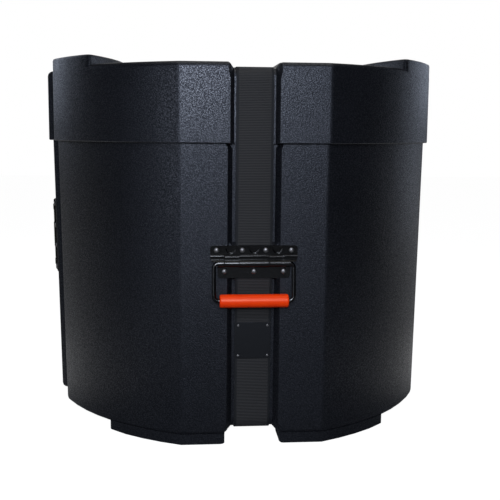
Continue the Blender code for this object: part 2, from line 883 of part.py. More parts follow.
def free_strap_path(side):
    """Webbing between its last hold on the base and the lid's lower edge."""
    base = base_strap_path()
    start = base[0] if side < 0 else base[-1]
    end = (side * lid_strap_y(), LID_EDGE - GAP)
    slope = (end[0] - start[0]) / (end[1] - start[1])
    return [(start[0] + slope * GAP, start[1] + GAP), end]


def buckle_floor():
    """Underside of the buckle, on the pocket's floor."""
    return LID_TOP - POCKET_DEPTH + GAP


def bar_center_z():
    """Height of the buckle's two webbing bars."""
    return buckle_floor() + BUCKLE_THICK / 2


def lid_strap_path(side, bar_y, tail):
    """Webbing over the lid: up one side, in along the roof, round the buckle's bar and back over itself."""
    lift = strap_lift()
    path = [(side * lid_strap_y(), LID_EDGE + GAP)]
    for station in bend_stations(
        LID_FLAT, LID_TOP, side, LID_CHANNEL_DEPTH, ROOF_CHANNEL_DEPTH, (0.0, 0.0)
    ):
        spot = station.point - station.normal * (station.depth - lift)
        path.append((spot.x, spot.y))
    roof = LID_TOP - ROOF_CHANNEL_DEPTH + lift
    edge = POCKET_HALF_LENGTH + POCKET_RAMP
    turn = BAR_HALF_THICK + lift
    low = bar_center_z() - turn
    high = bar_center_z() + turn
    over = STRAP_THICK + GAP
    path.append((side * edge, roof))
    path.append((side * POCKET_HALF_LENGTH, roof - POCKET_RAMP * POCKET_DIP_SHARE))
    outer_edge = bar_y + side * BAR_LENGTH / 2
    inner_edge = bar_y - side * (BAR_LENGTH / 2 - BAR_HALF_THICK)
    path.append((outer_edge, low))
    start, end = (-90, 90) if side < 0 else (-90, -270)
    path += bend((inner_edge, bar_center_z()), turn, start, end, BAR_TURN_STEPS)
    path.append((outer_edge, high))
    path.append((side * edge, roof + over))
    path.append((side * (edge + tail), roof + over))
    return path


# Handles


def barrel_radius(x):
    """Outer radius of the plate's barrel, stepped in knuckles along its length."""
    share = (x + PLATE_HALF) / (2 * PLATE_HALF)
    first = ROD_RADIUS + ROD_RUNNING + SHEET
    if KNUCKLE_SHARES[1] < share < KNUCKLE_SHARES[2]:
        return first + 2 * KNUCKLE_STEP
    if KNUCKLE_SHARES[0] < share < KNUCKLE_SHARES[3]:
        return first + KNUCKLE_STEP
    return first


def axis_out():
    """Distance from the wall to the bail's axis."""
    return GAP + ROD_RADIUS


def plate_section(x):
    """Ring of the pressed sheet at x, as (x, y, z) with y = 0 on its back and -y outward."""
    radius = barrel_radius(x)
    inner = radius - SHEET
    center = axis_out() - GAP
    bead = BEAD_ABOVE_AXIS - (radius - ROD_RADIUS - ROD_RUNNING - SHEET)
    shoulder_half = BEAD_HALF * BEAD_SHOULDER_SHARES[0]
    shoulder = SHEET + BEAD_RISE * BEAD_SHOULDER_SHARES[1]
    outside = [
        (PLATE_ABOVE_AXIS, SHEET),
        (bead + BEAD_HALF, SHEET),
        (bead + shoulder_half, shoulder),
        (bead, SHEET + BEAD_RISE),
        (bead - shoulder_half, shoulder),
        (bead - BEAD_HALF, SHEET),
        (radius, SHEET),
    ]
    outside += [(z, center + u) for z, u in bend((0, 0), radius, 0, 180, BARREL_STEPS)]
    outside += [(-radius, SHEET), (-PLATE_BELOW_AXIS, SHEET)]
    inside = [(-PLATE_BELOW_AXIS, 0.0), (-inner, 0.0)]
    inside += [(z, center + u) for z, u in bend((0, 0), inner, 180, 0, BARREL_STEPS)]
    inside += [(inner, 0.0), (PLATE_ABOVE_AXIS, 0.0)]
    return [(x, -u, z) for z, u in outside + inside]


def plate_stations():
    """Places along the plate where its section changes: the ends and each knuckle's slope."""
    stations = [-PLATE_HALF]
    for share in KNUCKLE_SHARES:
        middle = (2 * share - 1) * PLATE_HALF
        stations += [middle - KNUCKLE_SLOPE / 2, middle + KNUCKLE_SLOPE / 2]
    return stations + [PLATE_HALF]


def plate_outline():
    """Stepped outline of the plate: wide above the barrel, narrower from the barrel down."""
    half = [
        (LOWER_HALF, -PLATE_BELOW_AXIS),
        (LOWER_HALF, PLATE_SHOULDER),
        (PLATE_HALF, PLATE_SHOULDER),
        (PLATE_HALF, PLATE_ABOVE_AXIS),
    ]
    corners = half + [(-x, z) for x, z in reversed(half)]
    return rounded(corners, PLATE_CORNER)


def rivet_places():
    """Centres of the plate's seven rivets, from the top row down."""
    places = []
    for side in (-1, 1):
        places += [(side * x, UPPER_RIVET_ABOVE_AXIS) for x in UPPER_RIVET_X]
    places += [(x, -LOWER_RIVET_BELOW_AXIS) for x in (-LOWER_RIVET_X, 0.0, LOWER_RIVET_X)]
    return sorted(places, key=lambda p: (-p[1], p[0]))


def rod_cutter(name, x, z, radius, start, length, sides=RIVET_SIDES):
    """A round cutter along Y from y = start towards +Y."""
    profile = [(0, 0.0), (radius, 0.0), (radius, length), (0, length)]
    cutter = turned(name, profile, sides)
    turn = Matrix.Rotation(-math.pi / 2, 4, "X")
    cutter.data.transform(Matrix.Translation((x, start, z)) @ turn)
    return cutter


def handle_plate(name, finish):
    """Pressed steel plate with its back on y = 0 and the bail's axis at z = 0."""
    stations = plate_stations()
    rings = []
    for i, x in enumerate(stations):
        ring = plate_section((stations[i - 1] + x) / 2 if i % 2 else x + KNUCKLE_SLOPE / 2)
        if i in (0, len(stations) - 1):
            ring = plate_section(x)
        rings.append([(x, y, z) for _, y, z in ring])
    plate = loft(name, rings, finish)
    reach = axis_out() + barrel_radius(0.0) + OVERRUN
    outline = plate_outline()
    blank = loft(
        "blank", [[(x, y, z) for x, z in outline] for y in (OVERRUN, -reach)]
    )
    combine(plate, blank, "INTERSECT")
    holes = [
        rod_cutter("hole", x, z, RIVET_SHANK_RADIUS + GAP, -SHEET - OVERRUN, SHEET + 2 * OVERRUN)
        for x, z in rivet_places()
    ]
    combine(plate, joined("holes", holes), "DIFFERENCE")
    dimples = [
        rod_cutter(
            "dimple",
            k * DIMPLE_PITCH,
            DIMPLE_ABOVE_AXIS,
            DIMPLE_RADIUS,
            -SHEET - OVERRUN,
            OVERRUN + DIMPLE_DEPTH,
            DIMPLE_SIDES,
        )
        for k in (-1, 0, 1)
    ]
    return combine(plate, joined("dimples", dimples), "DIFFERENCE")


def rivet(name, head_radius, head_rise, shank_radius, shank_length, finish):
    """Dome-headed rivet along -Y: the head's underside lies on y = 0."""
    across, up = DOME_SHOULDER_SHARES
    dome = [(head_radius, 0.0), (head_radius * across, head_rise * up), (0, head_rise)]
    profile = [(0, -shank_length), (shank_radius, -shank_length), (shank_radius, 0.0)] + dome
    made = turned(name, profile, RIVET_SIDES, finish)
    made.data.transform(Matrix.Rotation(math.pi / 2, 4, "X"))
    return made


def bail_path():
    """Half-symmetric path of the bail's rod in its own plane, the axis at the origin."""
    ear_x = BAIL_HALF - EAR_BEND
    right = [(ear_x - PIVOT_LENGTH, 0.0)]
    right += bend((ear_x, -EAR_BEND), EAR_BEND, 90, 0, EAR_BEND_STEPS)
    corner = (BAIL_HALF - BAIL_BEND, -BAIL_DROP + BAIL_BEND)
    right += bend(corner, BAIL_BEND, 0, -90, BAIL_BEND_STEPS)
    return right + [(-x, z) for x, z in reversed(right)]


def grip(name, finish):
    """Moulded grip over the bail's straight run, along X at the origin."""
    bore = ROD_RADIUS + GAP
    half, radius, ease = GRIP_HALF, GRIP_RADIUS, GRIP_EASE
    shoulder_drop, shoulder_run, run = (ease * share for share in GRIP_SHOULDER_SHARES)
    profile = [
        (bore, -half),
        (radius - ease, -half),
        (radius - shoulder_drop, -half + shoulder_run),
        (radius, -half + run),
        (radius, half - run),
        (radius - shoulder_drop, half - shoulder_run),
        (radius - ease, half),
        (bore, half),
    ]
    made = turned(name, profile, GRIP_SIDES, finish)
    made.data.transform(Matrix.Rotation(math.pi / 2, 4, "Y"))
    return made


def rest_angle():
    """Lean of the front bail when its grip touches the wall."""
    return math.asin((GRIP_RADIUS + GAP - axis_out()) / BAIL_DROP)


def handle(prefix, seat, lean, finishes):
    """One handle on the wall frame seat: x along the plate, -y outward, -z where the bail hangs.
    Returns the cutters for the shell behind it."""
    steel, rivet_finish, grip_finish = finishes
    out = Matrix.Translation((0, -GAP, 0))
    place(handle_plate(f"{prefix}_handle_plate", steel), seat @ out)
    cutters = []
    for index, (x, z) in enumerate(rivet_places(), 1):
        head = Matrix.Translation((x, -GAP - SHEET - GAP, z))
        made = rivet(
            f"{prefix}_handle_rivet_{index}",
            RIVET_HEAD_RADIUS,
            RIVET_HEAD_RISE,
            RIVET_SHANK_RADIUS,
            2 * GAP + SHEET + RIVET_BITE,
            rivet_finish,
        )
        place(made, seat @ head)
        cutter = rod_cutter(
            "rivet_hole", x, z, RIVET_SHANK_RADIUS + GAP, -OVERRUN, 2 * OVERRUN + BASE_WALL
        )
        cutters.append(place(cutter, seat))
    hinge = bpy.data.objects.new(f"{prefix}_bail_axis", None)
    bpy.context.scene.collection.objects.link(hinge)
    swing = Matrix.Translation((0, -axis_out(), 0)) @ Matrix.Rotation(-lean, 4, "X")
    place(hinge, seat @ swing)
    bail = tube(f"{prefix}_bail", bail_path(), ROD_RADIUS, ROD_SIDES, steel)
    hold = grip(f"{prefix}_grip", grip_finish)
    for item, drop in ((bail, 0.0), (hold, -BAIL_DROP)):
        item.parent = hinge
        item.location = (0, 0, drop)
    return cutters


def front_seat():
    """Wall frame of the front handle."""
    return Matrix.Translation((0, -base_wall_y(FRONT_AXIS_Z), FRONT_AXIS_Z)) @ Matrix.Rotation(
        wall_lean(), 4, "X"
    )


def side_seat():
    """Wall frame of the handle on the left rib: the bail folds towards the back."""
    reach = base_wall_y(SIDE_AXIS_Z) + RIB_PROUD
    middle = (PLATE_ABOVE_AXIS - PLATE_BELOW_AXIS) / 2
    lean = wall_lean()
    rotation = Matrix(
        (
            (math.sin(lean), math.cos(lean), 0),
            (0, 0, -1),
            (-math.cos(lean), math.sin(lean), 0),
        )
    ).to_4x4()
    return Matrix.Translation((-reach, middle, SIDE_AXIS_Z)) @ rotation


# Badge


def badge_seat():
    """Frame of the badge on the webbing: -y outward."""
    out = base_wall_y(BADGE_Z) - BASE_CHANNEL_DEPTH + 2 * GAP + STRAP_THICK
    return Matrix.Translation((0, -out, BADGE_Z)) @ Matrix.Rotation(wall_lean(), 4, "X")


def badge(plate_finish, rivet_finish):
    """Blank plate with four rivets through the webbing; returns the cutters for what is behind."""
    corners = [
        (sx * BADGE_HALF_WIDTH, sz * BADGE_HALF_HEIGHT)
        for sx, sz in ((1, -1), (1, 1), (-1, 1), (-1, -1))
    ]
    outline = rounded(corners, BADGE_CORNER)
    plate = loft(
        "badge_plate", [[(x, y, z) for x, z in outline] for y in (0.0, -BADGE_THICK)], plate_finish
    )
    spread_x = BADGE_HALF_WIDTH - BADGE_RIVET_MARGIN
    spread_z = BADGE_HALF_HEIGHT - BADGE_RIVET_MARGIN
    places = [(sx * spread_x, sz * spread_z) for sz in (1, -1) for sx in (-1, 1)]
    length = 3 * GAP + BADGE_THICK + STRAP_THICK + BADGE_BITE
    holes = [
        rod_cutter(
            "hole", x, z, BADGE_SHANK_RADIUS + GAP, -BADGE_THICK - OVERRUN, BADGE_THICK + 2 * OVERRUN
        )
        for x, z in places
    ]
    combine(plate, joined("holes", holes), "DIFFERENCE")
    seat = badge_seat()
    place(plate, seat)
    cutters = []
    for index, (x, z) in enumerate(places, 1):
        made = rivet(
            f"badge_rivet_{index}",
            BADGE_RIVET_RADIUS,
            BADGE_RIVET_RISE,
            BADGE_SHANK_RADIUS,
            length,
            rivet_finish,
        )
        place(made, seat @ Matrix.Translation((x, -BADGE_THICK - GAP, z)))
        cutters.append(
            place(
                rod_cutter("pin_hole", x, z, BADGE_SHANK_RADIUS + GAP, -BADGE_THICK, length + OVERRUN),
                seat,
            )
        )
    return cutters


# Buckle


def joint_y():
    """Where the plug meets the socket."""
    return BUCKLE_SHIFT + (PLUG_LENGTH - SOCKET_LENGTH) / 2


def slab(name, outline, low, high, ease, finish=None):
    """A plate between two heights with eased rims, from a function of inset."""
    return stack(
        name,
        outline,
        [(low, ease), (low + ease, 0.0), (high - ease, 0.0), (high, ease)],
        finish,
    )


def rectangle(x_low, x_high, y_low, y_high, corner):
    """Outline function of a rectangle with rounded corners."""

    def outline(inset):
        corners = [
            (x_high - inset, y_low + inset),
            (x_high - inset, y_high - inset),
            (x_low + inset, y_high - inset),
            (x_low + inset, y_low + inset),
        ]
        return rounded(corners, corner)

    return outline


def webbing_bar(bar_y, bottom):
    """Round-edged bar that the webbing turns round, built into both cheeks."""
    middle = bottom + BUCKLE_THICK / 2
    return box(
        "bar",
        (-SLOT_HALF - OVERRUN, bar_y - BAR_LENGTH / 2, middle - BAR_HALF_THICK),
        (SLOT_HALF + OVERRUN, bar_y + BAR_LENGTH / 2, middle + BAR_HALF_THICK),
        ease=BAR_HALF_THICK * BAR_ROUND_SHARE,
    )


def buckle(finish):
    """Socket, plug and the plug's two spring arms. Returns the y of the two webbing bars."""
    bottom = buckle_floor()
    top = bottom + BUCKLE_THICK
    mouth = joint_y()
    half = BUCKLE_HALF
    middle = bottom + BUCKLE_THICK / 2

    socket_end = mouth + SOCKET_LENGTH
    socket = slab(
        "buckle_socket",
        rectangle(-half, half, mouth, socket_end, BUCKLE_CORNER),
        bottom,
        top,
        BUCKLE_EASE,
        finish,
    )
    socket_bar = socket_end - BAR_LENGTH / 2
    cuts = [
        box(
            "cavity",
            (-half + SOCKET_SIDE, mouth - OVERRUN, bottom + SOCKET_SKIN),
            (half - SOCKET_SIDE, mouth + SOCKET_DEPTH, top - SOCKET_SKIN),
        ),
        box(
            "slot",
            (-SLOT_HALF, socket_end - BAR_LENGTH - SLOT_LENGTH, bottom - OVERRUN),
            (SLOT_HALF, socket_end + OVERRUN, top + OVERRUN),
        ),
    ]
    for side in (-1, 1):
        xs = sorted((side * (half - SOCKET_SIDE - OVERRUN), side * (half + OVERRUN)))
        cuts.append(
            box(
                "window",
                (xs[0], mouth + WINDOW_START, bottom + SOCKET_SKIN),
                (xs[1], mouth + WINDOW_START + WINDOW_LENGTH, top - SOCKET_SKIN),
            )
        )
    for cut in cuts:
        combine(socket, cut, "DIFFERENCE")
    combine(socket, webbing_bar(socket_bar, bottom), "UNION")

    plug_end = mouth - GAP
    plug_start = plug_end - PLUG_LENGTH
    plug = slab(
        "buckle_plug",
        rectangle(-half, half, plug_start, plug_end, BUCKLE_CORNER),
        bottom,
        top,
        BUCKLE_EASE,
        finish,
    )
    plug_bar = plug_start + BAR_LENGTH / 2
    slot = box(
        "slot",
        (-SLOT_HALF, plug_start - OVERRUN, bottom - OVERRUN),
        (SLOT_HALF, plug_start + BAR_LENGTH + SLOT_LENGTH, top + OVERRUN),
    )
    combine(plug, slot, "DIFFERENCE")
    combine(plug, webbing_bar(plug_bar, bottom), "UNION")
    play = SOCKET_SKIN + GAP + ARM_PLAY
    tongue = box(
        "tongue",
        (-TONGUE_HALF, plug_end - BUCKLE_EASE - OVERRUN, bottom + play),
        (TONGUE_HALF, mouth + TONGUE_LENGTH, top - play),
        ease=ARM_PLAY,
    )
    combine(plug, tongue, "UNION")

    for side, name in ((-1, "buckle_arm_left"), (1, "buckle_arm_right")):
        inner, outer = ARM_ROOT_X - ARM_THICK / 2, ARM_ROOT_X + ARM_THICK / 2
        head_start = WINDOW_START + ARM_PLAY
        tip = head_start + ARM_HEAD_LENGTH
        corners = [
            (inner, GAP),
            (outer, GAP),
            (outer, head_start),
            (half, head_start),
            (half, head_start + ARM_HEAD_LENGTH * ARM_NOSE_SHARES[0]),
            (outer + ARM_THICK * ARM_NOSE_SHARES[1], tip),
            (inner, tip),
        ]
        arm = stack(
            name,
            lambda inset: rounded(corners, ARM_CORNER),
            [(bottom + play, 0.0), (top - play, 0.0)],
            finish,
        )
        if side < 0:
            arm.data.transform(Matrix.Diagonal((-1, 1, 1, 1)))
            arm.data.flip_normals()
        place(arm, Matrix.Translation((0, mouth, 0)))
    return plug_bar, socket_bar


def assemble():
    """Finishes, then every piece of the case."""
    shell_black = material("moulded_shell", (0.018, 0.021, 0.028), 0.42)
    foam_grey = material("foam", (0.03, 0.03, 0.032), 0.95)
    webbing = material("webbing", (0.035, 0.035, 0.036), 0.8)
    steel = material("black_steel", (0.02, 0.02, 0.022), 0.25, 0.6)
    rivet_steel = material("rivet_steel", (0.12, 0.12, 0.125), 0.25, 0.9)
    grip_orange = material("grip_orange", (0.75, 0.05, 0.006), 0.4)
    badge_black = material("badge_black", (0.012, 0.012, 0.013), 0.35, 0.2)
    buckle_black = material("buckle_black", (0.015, 0.015, 0.016), 0.4)

    base = base_shell(shell_black)
    lid_shell(shell_black)
    foam_pieces(foam_grey)

    finishes = (steel, rivet_steel, grip_orange)
    front_cutters = handle("front", front_seat(), rest_angle(), finishes)
    side_cutters = handle("side", side_seat(), 0.0, finishes)
    badge_cutters = badge(badge_black, rivet_steel)

    base_strap = ribbon("strap_base", base_strap_path(), webbing)
    through = front_cutters + badge_cutters
    strap_cutters = []
    for cutter in through:
        copy = cutter.copy()
        copy.data = cutter.data.copy()
        bpy.context.scene.collection.objects.link(copy)
        strap_cutters.append(copy)
    bpy.context.view_layer.update()
    combine(base_strap, joined("strap_holes", strap_cutters), "DIFFERENCE")
    combine(base, joined("shell_holes", through + side_cutters), "DIFFERENCE")

    ribbon("strap_free_front", free_strap_path(-1), webbing)
    ribbon("strap_free_back", free_strap_path(1), webbing)
    plug_bar, socket_bar = buckle(buckle_black)
    ribbon("strap_lid_front", lid_strap_path(-1, plug_bar, TAIL_LENGTH), webbing)
    ribbon("strap_lid_back", lid_strap_path(1, socket_bar, LOOP_LENGTH), webbing)


def centre_footprint():
    """Move the whole case so that its footprint is centred on the origin: the handles stand out
    on the front and on the left only."""
    bpy.context.view_layer.update()
    nodes = [o for o in bpy.context.scene.objects if o.type == "MESH"]
    corners = [o.matrix_world @ v.co for o in nodes for v in o.data.vertices]
    shift = Vector(
        (
            -(min(c.x for c in corners) + max(c.x for c in corners)) / 2,
            -(min(c.y for c in corners) + max(c.y for c in corners)) / 2,
            0,
        )
    )
    axis = bpy.data.objects.new("case_axis", None)
    bpy.context.scene.collection.objects.link(axis)
    for item in list(bpy.context.scene.objects):
        if item is not axis and item.parent is None:
            item.parent = axis
    axis.location = shift
    bpy.context.view_layer.update()
    print("case axis at", tuple(round(value, 6) for value in shift))


def main():
    for item in list(bpy.data.objects):
        bpy.data.objects.remove(item)
    assemble()
    centre_footprint()


main()
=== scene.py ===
"""Looks of the drum case: camera, studio, finishes and the fine surface of every piece."""

import json
import logging
import math
from contextlib import contextmanager
from dataclasses import dataclass
from enum import Enum
from typing import Any, Iterator, Mapping, Sequence, Union

import bpy
from bpy.types import ID, Material, MeshPolygon, Node, NodeSocket, Object, World
from mathutils import Matrix, Quaternion, Vector

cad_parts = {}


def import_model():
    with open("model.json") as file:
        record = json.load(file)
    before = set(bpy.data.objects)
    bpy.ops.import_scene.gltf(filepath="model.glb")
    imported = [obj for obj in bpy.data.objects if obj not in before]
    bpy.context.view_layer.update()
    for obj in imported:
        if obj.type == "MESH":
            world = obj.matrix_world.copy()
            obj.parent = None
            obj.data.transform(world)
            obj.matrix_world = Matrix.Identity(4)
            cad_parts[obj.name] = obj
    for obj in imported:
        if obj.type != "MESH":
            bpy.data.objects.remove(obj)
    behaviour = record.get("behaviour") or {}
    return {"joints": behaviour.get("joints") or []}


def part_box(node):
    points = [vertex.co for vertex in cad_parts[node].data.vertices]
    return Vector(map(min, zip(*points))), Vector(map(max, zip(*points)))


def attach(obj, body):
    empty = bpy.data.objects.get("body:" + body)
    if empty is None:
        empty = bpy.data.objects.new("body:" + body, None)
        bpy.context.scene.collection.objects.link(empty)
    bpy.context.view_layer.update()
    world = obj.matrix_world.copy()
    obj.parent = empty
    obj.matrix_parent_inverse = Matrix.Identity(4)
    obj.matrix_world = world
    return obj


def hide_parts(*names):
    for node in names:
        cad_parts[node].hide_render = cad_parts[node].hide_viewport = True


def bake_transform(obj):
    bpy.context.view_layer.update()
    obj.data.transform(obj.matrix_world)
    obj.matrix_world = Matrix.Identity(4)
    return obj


MM = 0.001
GAP = 0.3 * MM
MERGE = 0.01 * MM
FLAT_DEGREES = 0.4
TOOL_REACH = 4.0
SQUARE = ((-1, -1), (1, -1), (1, 1), (-1, 1))
EASED = "eased"
WEAVE = "weave"
LOG = logging.getLogger("drum_case")

Colour = tuple[float, float, float]
Point = tuple[float, float, float]
Spot = tuple[float, float]
Route = list[Vector]
Inputs = Union[Mapping[Any, Any], None]
Span = tuple[float, float]  # both ends of a range
Noise = tuple[float, ...]  # features per metre, detail, roughness where it isn't 0.5
Cells = tuple[float, float]  # cells per metre, smoothness
Relief = tuple[float, float]  # depth in metres, strength

WHITE: Colour = (1.0, 1.0, 1.0)
DAYLIGHT: Colour = (0.72, 0.81, 1.0)


class Slot(Enum):
    """Material slots that the record names."""

    SHELL = "moulded_shell"
    FOAM = "foam"
    WEBBING = "webbing"
    BLACK_STEEL = "black_steel"
    RIVET_STEEL = "rivet_steel"
    GRIP = "grip_plastic"
    BADGE = "badge_metal"
    BUCKLE = "buckle_plastic"


class Body(Enum):
    """Bodies of the frame that pieces ride on."""

    BASE = "base"
    LID = "lid"
    FRONT_HANDLE = "front_carry_handle"
    SIDE_HANDLE = "side_carry_handle"
    BUCKLE_LEFT = "buckle_release_left"
    BUCKLE_RIGHT = "buckle_release_right"


class Value:
    """A socket that carries a number, with arithmetic that adds Math nodes."""

    def __init__(self, graph: "Graph", socket: NodeSocket) -> None:
        """Wrap one output socket of a graph."""
        self.graph = graph
        self.socket = socket

    def __add__(self, other: "Number") -> "Value":
        """Sum with a number or value."""
        return self.graph.math("ADD", self, other)

    def __sub__(self, other: "Number") -> "Value":
        """Difference with a number or value."""
        return self.graph.math("SUBTRACT", self, other)

    def __rsub__(self, other: "Number") -> "Value":
        """Reflected difference."""
        return self.graph.math("SUBTRACT", other, self)

    def __mul__(self, other: "Number") -> "Value":
        """Product with a number or value."""
        return self.graph.math("MULTIPLY", self, other)

    __radd__ = __add__

    def wave(self, pitch: float) -> "Value":
        """Sine wave from 0 to 1 that repeats over each pitch."""
        return self.graph.math("SINE", self * (2 * math.pi / pitch)) * 0.5 + 0.5

    def between(self, low: float, high: float) -> "Value":
        """Smooth step of the value from 0 at low to 1 at high."""
        inputs = {"Value": self, "From Min": low, "From Max": high}
        return self.graph.value("MapRange", "Result", inputs, interpolation_type="SMOOTHSTEP")

    def over(self, low: float, high: float) -> "Value":
        """Straight line through low at 0 and high at 1."""
        return low + self * (high - low)


Number = Union[float, Value]


class Graph:
    """Node tree of one material or world round its shader."""

    def __init__(self, owner: Union[Material, World], shader: str) -> None:
        """Start on the owner's own tree.

        Args:
            owner: The material or world.
            shader: Name of the shader node that it starts with.
        """
        owner.use_nodes = True
        self.owner = owner
        self.tree = owner.node_tree
        self.shader = self.tree.nodes[shader]

    @classmethod
    def material(cls, name: str) -> "Graph":
        """Graph of a new material."""
        return cls(bpy.data.materials.new(name), "Principled BSDF")

    def node(self, kind: str, inputs: Inputs = None, **settings: Any) -> Node:
        """Add a node of any kind.

        Args:
            kind: The node's type without its prefix.
            inputs: Values or links of its sockets, by name or place.
            settings: Properties of the node, set before its sockets.

        Returns:
            The new node.
        """
        made = self.tree.nodes.new("ShaderNode" + kind)
        for key, value in settings.items():
            setattr(made, key, value)
        for key, value in (inputs or {}).items():
            self.feed(made.inputs[key], value)
        return made

    def value(self, kind: str, output: Any, inputs: Inputs = None, **settings: Any) -> Value:
        """The number that a new node gives at one of its outputs."""
        return Value(self, self.node(kind, inputs, **settings).outputs[output])

    def feed(self, socket: NodeSocket, value: Any) -> None:
        """Link a value or socket to an input, or set the input's number or opaque colour.

        Args:
            socket: The input.
            value: What goes into it.
        """
        source = value.socket if isinstance(value, Value) else value
        if isinstance(source, NodeSocket):
            self.tree.links.new(source, socket)
        elif socket.type == "RGBA":
            socket.default_value = (*source, 1.0)
        else:
            socket.default_value = source

    def math(self, operation: str, *values: Number) -> Value:
        """A Math node on numbers or values."""
        return self.value("Math", 0, dict(enumerate(values)), operation=operation)

    def place(self, kind: str = "Object") -> NodeSocket:
        """Texture coordinates: in metres on the object unless another kind is named."""
        return self.node("TexCoord").outputs[kind]

    def part(self, vector: NodeSocket, axis: str) -> Value:
        """One part of a vector."""
        return self.value("SeparateXYZ", axis, {"Vector": vector})

    def ray(self, kind: str) -> Value:
        """1 for rays of one kind, such as Camera or Glossy, and 0 for others."""
        return self.value("LightPath", f"Is {kind} Ray")

    def attribute(self, name: str) -> Value:
        """A number that the mesh carries."""
        return self.value("Attribute", "Fac", attribute_name=name)

    def noise(self, scale: float, detail: float = 2.0, roughness: float = 0.5) -> Value:
        """Noise from 0 to 1, with scale as features per metre."""
        inputs = {"Vector": self.place(), "Scale": scale, "Detail": detail, "Roughness": roughness}
        return self.value("TexNoise", "Fac", inputs)

    def cells(self, scale: float, smoothness: float) -> Value:
        """Distance to the middle of smooth cells, with scale as cells per metre."""
        inputs = {"Vector": self.place(), "Scale": scale, "Smoothness": smoothness}
        return self.value("TexVoronoi", "Distance", inputs, feature="SMOOTH_F1")

    def shade(self, factor: Value, low: Union[Colour, NodeSocket], high: Colour) -> NodeSocket:
        """Mix by a factor from one colour, or a socket that carries one, to another."""
        return self.node("Mix", {"Factor": factor, 6: low, 7: high}, data_type="RGBA").outputs[2]

    def bump(self, height: Value, depth: float, strength: float = 1.0) -> None:
        """Raise the surface by a height of 0 to 1 times depth in metres."""
        made = self.node("Bump", {"Height": height, "Distance": depth, "Strength": strength})
        self.feed(self.shader.inputs["Normal"], made.outputs["Normal"])

    def set(self, **sockets: Any) -> None:
        """Set or link the shader's sockets, named with underscores for spaces."""
        for key, value in sockets.items():
            self.feed(self.shader.inputs[key.replace("_", " ")], value)


@dataclass(frozen=True)
class PebbledShell:
    """Moulded polyethylene with a pebble grain, handled smooth along its edges, lighter there by wear
    and a painted highlight.
    """

    # tone of the grain by height: painted shade in the valleys, painted light on the pebble tops
    valley_shade: Colour = (0.0022, 0.0023, 0.0028)
    pebble: Colour = (0.0115, 0.0117, 0.0135)
    # lighter colour of the eased edges: handling wear plus a painted highlight along rims and creases
    worn_edge_and_highlight: Colour = (0.042, 0.042, 0.045)
    sheen: Colour = (0.54, 0.55, 0.59)
    pebbles: Cells = (560.0, 0.35)
    grain: Noise = (680.0, 3.0, 0.65)
    drift: Noise = (6.0, 4.0, 0.6)
    pebble_height: float = 0.5
    grain_height: float = 0.65
    drift_tone: float = 0.3
    tone: Span = (0.45, 1.0)
    worn_edge_and_highlight_share: float = 0.7
    depth: float = 0.46 * MM
    roughness: Span = (0.57, 0.67)
    height_polish: float = 0.4
    edge_polish: float = 0.12
    grain_gloss: float = 0.7
    pebble_gloss: float = 0.3
    gloss: Span = (0.45, 0.72)

    def build(self) -> Material:
        """Return the material."""
        graph = Graph.material(Slot.SHELL.value)
        pebbles, grain = 1.0 - graph.cells(*self.pebbles), graph.noise(*self.grain)
        drift, eased = graph.noise(*self.drift), graph.attribute(EASED)
        height = pebbles * self.pebble_height + grain * self.grain_height
        # Colour follows the grain's height: painted shade in the valleys and painted light on the
        # pebble tops, with a random drift.
        tone = (height + drift * self.drift_tone).between(*self.tone)
        body = graph.shade(tone, self.valley_shade, self.pebble)
        polish = height * self.height_polish + eased * self.edge_polish
        gloss = grain * self.grain_gloss + pebbles * self.pebble_gloss
        graph.set(
            # Base colour: lighter on the eased edges by handling wear and a painted highlight.
            Base_Color=graph.shade(eased * self.worn_edge_and_highlight_share, body, self.worn_edge_and_highlight),
            Roughness=drift.over(*self.roughness) - polish,
            Specular_Tint=self.sheen,
            Coat_Weight=gloss.between(*self.gloss),
            Coat_Roughness=0.3,
        )
        graph.bump(height, self.depth)
        return graph.owner


@dataclass(frozen=True)
class RibbedWebbing:
    """Woven webbing with cross ribs and plain selvedges, patterned by its own UV map."""

    thread: Colour = (0.0305, 0.027, 0.0232)
    # painted shade in the grooves between the ribs
    groove_shade: Colour = (0.0025, 0.0025, 0.0025)
    fuzz: Noise = (2600.0, 3.0)
    rib_pitch: float = 2.2 * MM
    rib_height: float = 0.75
    yarns: float = 44.0
    yarn_height: float = 0.15
    fuzz_height: float = 0.15
    fuzz_tone: float = 0.2
    tone: Span = (0.15, 0.9)
    selvedge: Span = (0.055, 0.077)
    depth: float = 0.5 * MM
    roughness: Span = (0.72, 0.84)

    def build(self) -> Material:
        """Return the material."""
        graph = Graph.material(Slot.WEBBING.value)
        uv = graph.node("UVMap", uv_map=WEAVE).outputs["UV"]
        across, along = graph.part(uv, "X"), graph.part(uv, "Y")
        start, end = self.selvedge
        inside = across.between(start, end) * (1.0 - across.between(1.0 - end, 1.0 - start))
        fuzz = graph.noise(*self.fuzz)
        ribs = inside * along.wave(self.rib_pitch) * self.rib_height
        height = ribs + across.wave(1.0 / self.yarns) * self.yarn_height + fuzz * self.fuzz_height
        # Colour follows the weave's height: painted shade in the grooves, with random fuzz.
        tone = (height + fuzz * self.fuzz_tone).between(*self.tone)
        graph.set(
            Base_Color=graph.shade(tone, self.groove_shade, self.thread),
            Roughness=fuzz.over(*self.roughness),
            Specular_IOR_Level=0.4,
            Sheen_Weight=0.06,
            Sheen_Roughness=0.4,
        )
        graph.bump(height, self.depth)
        return graph.owner


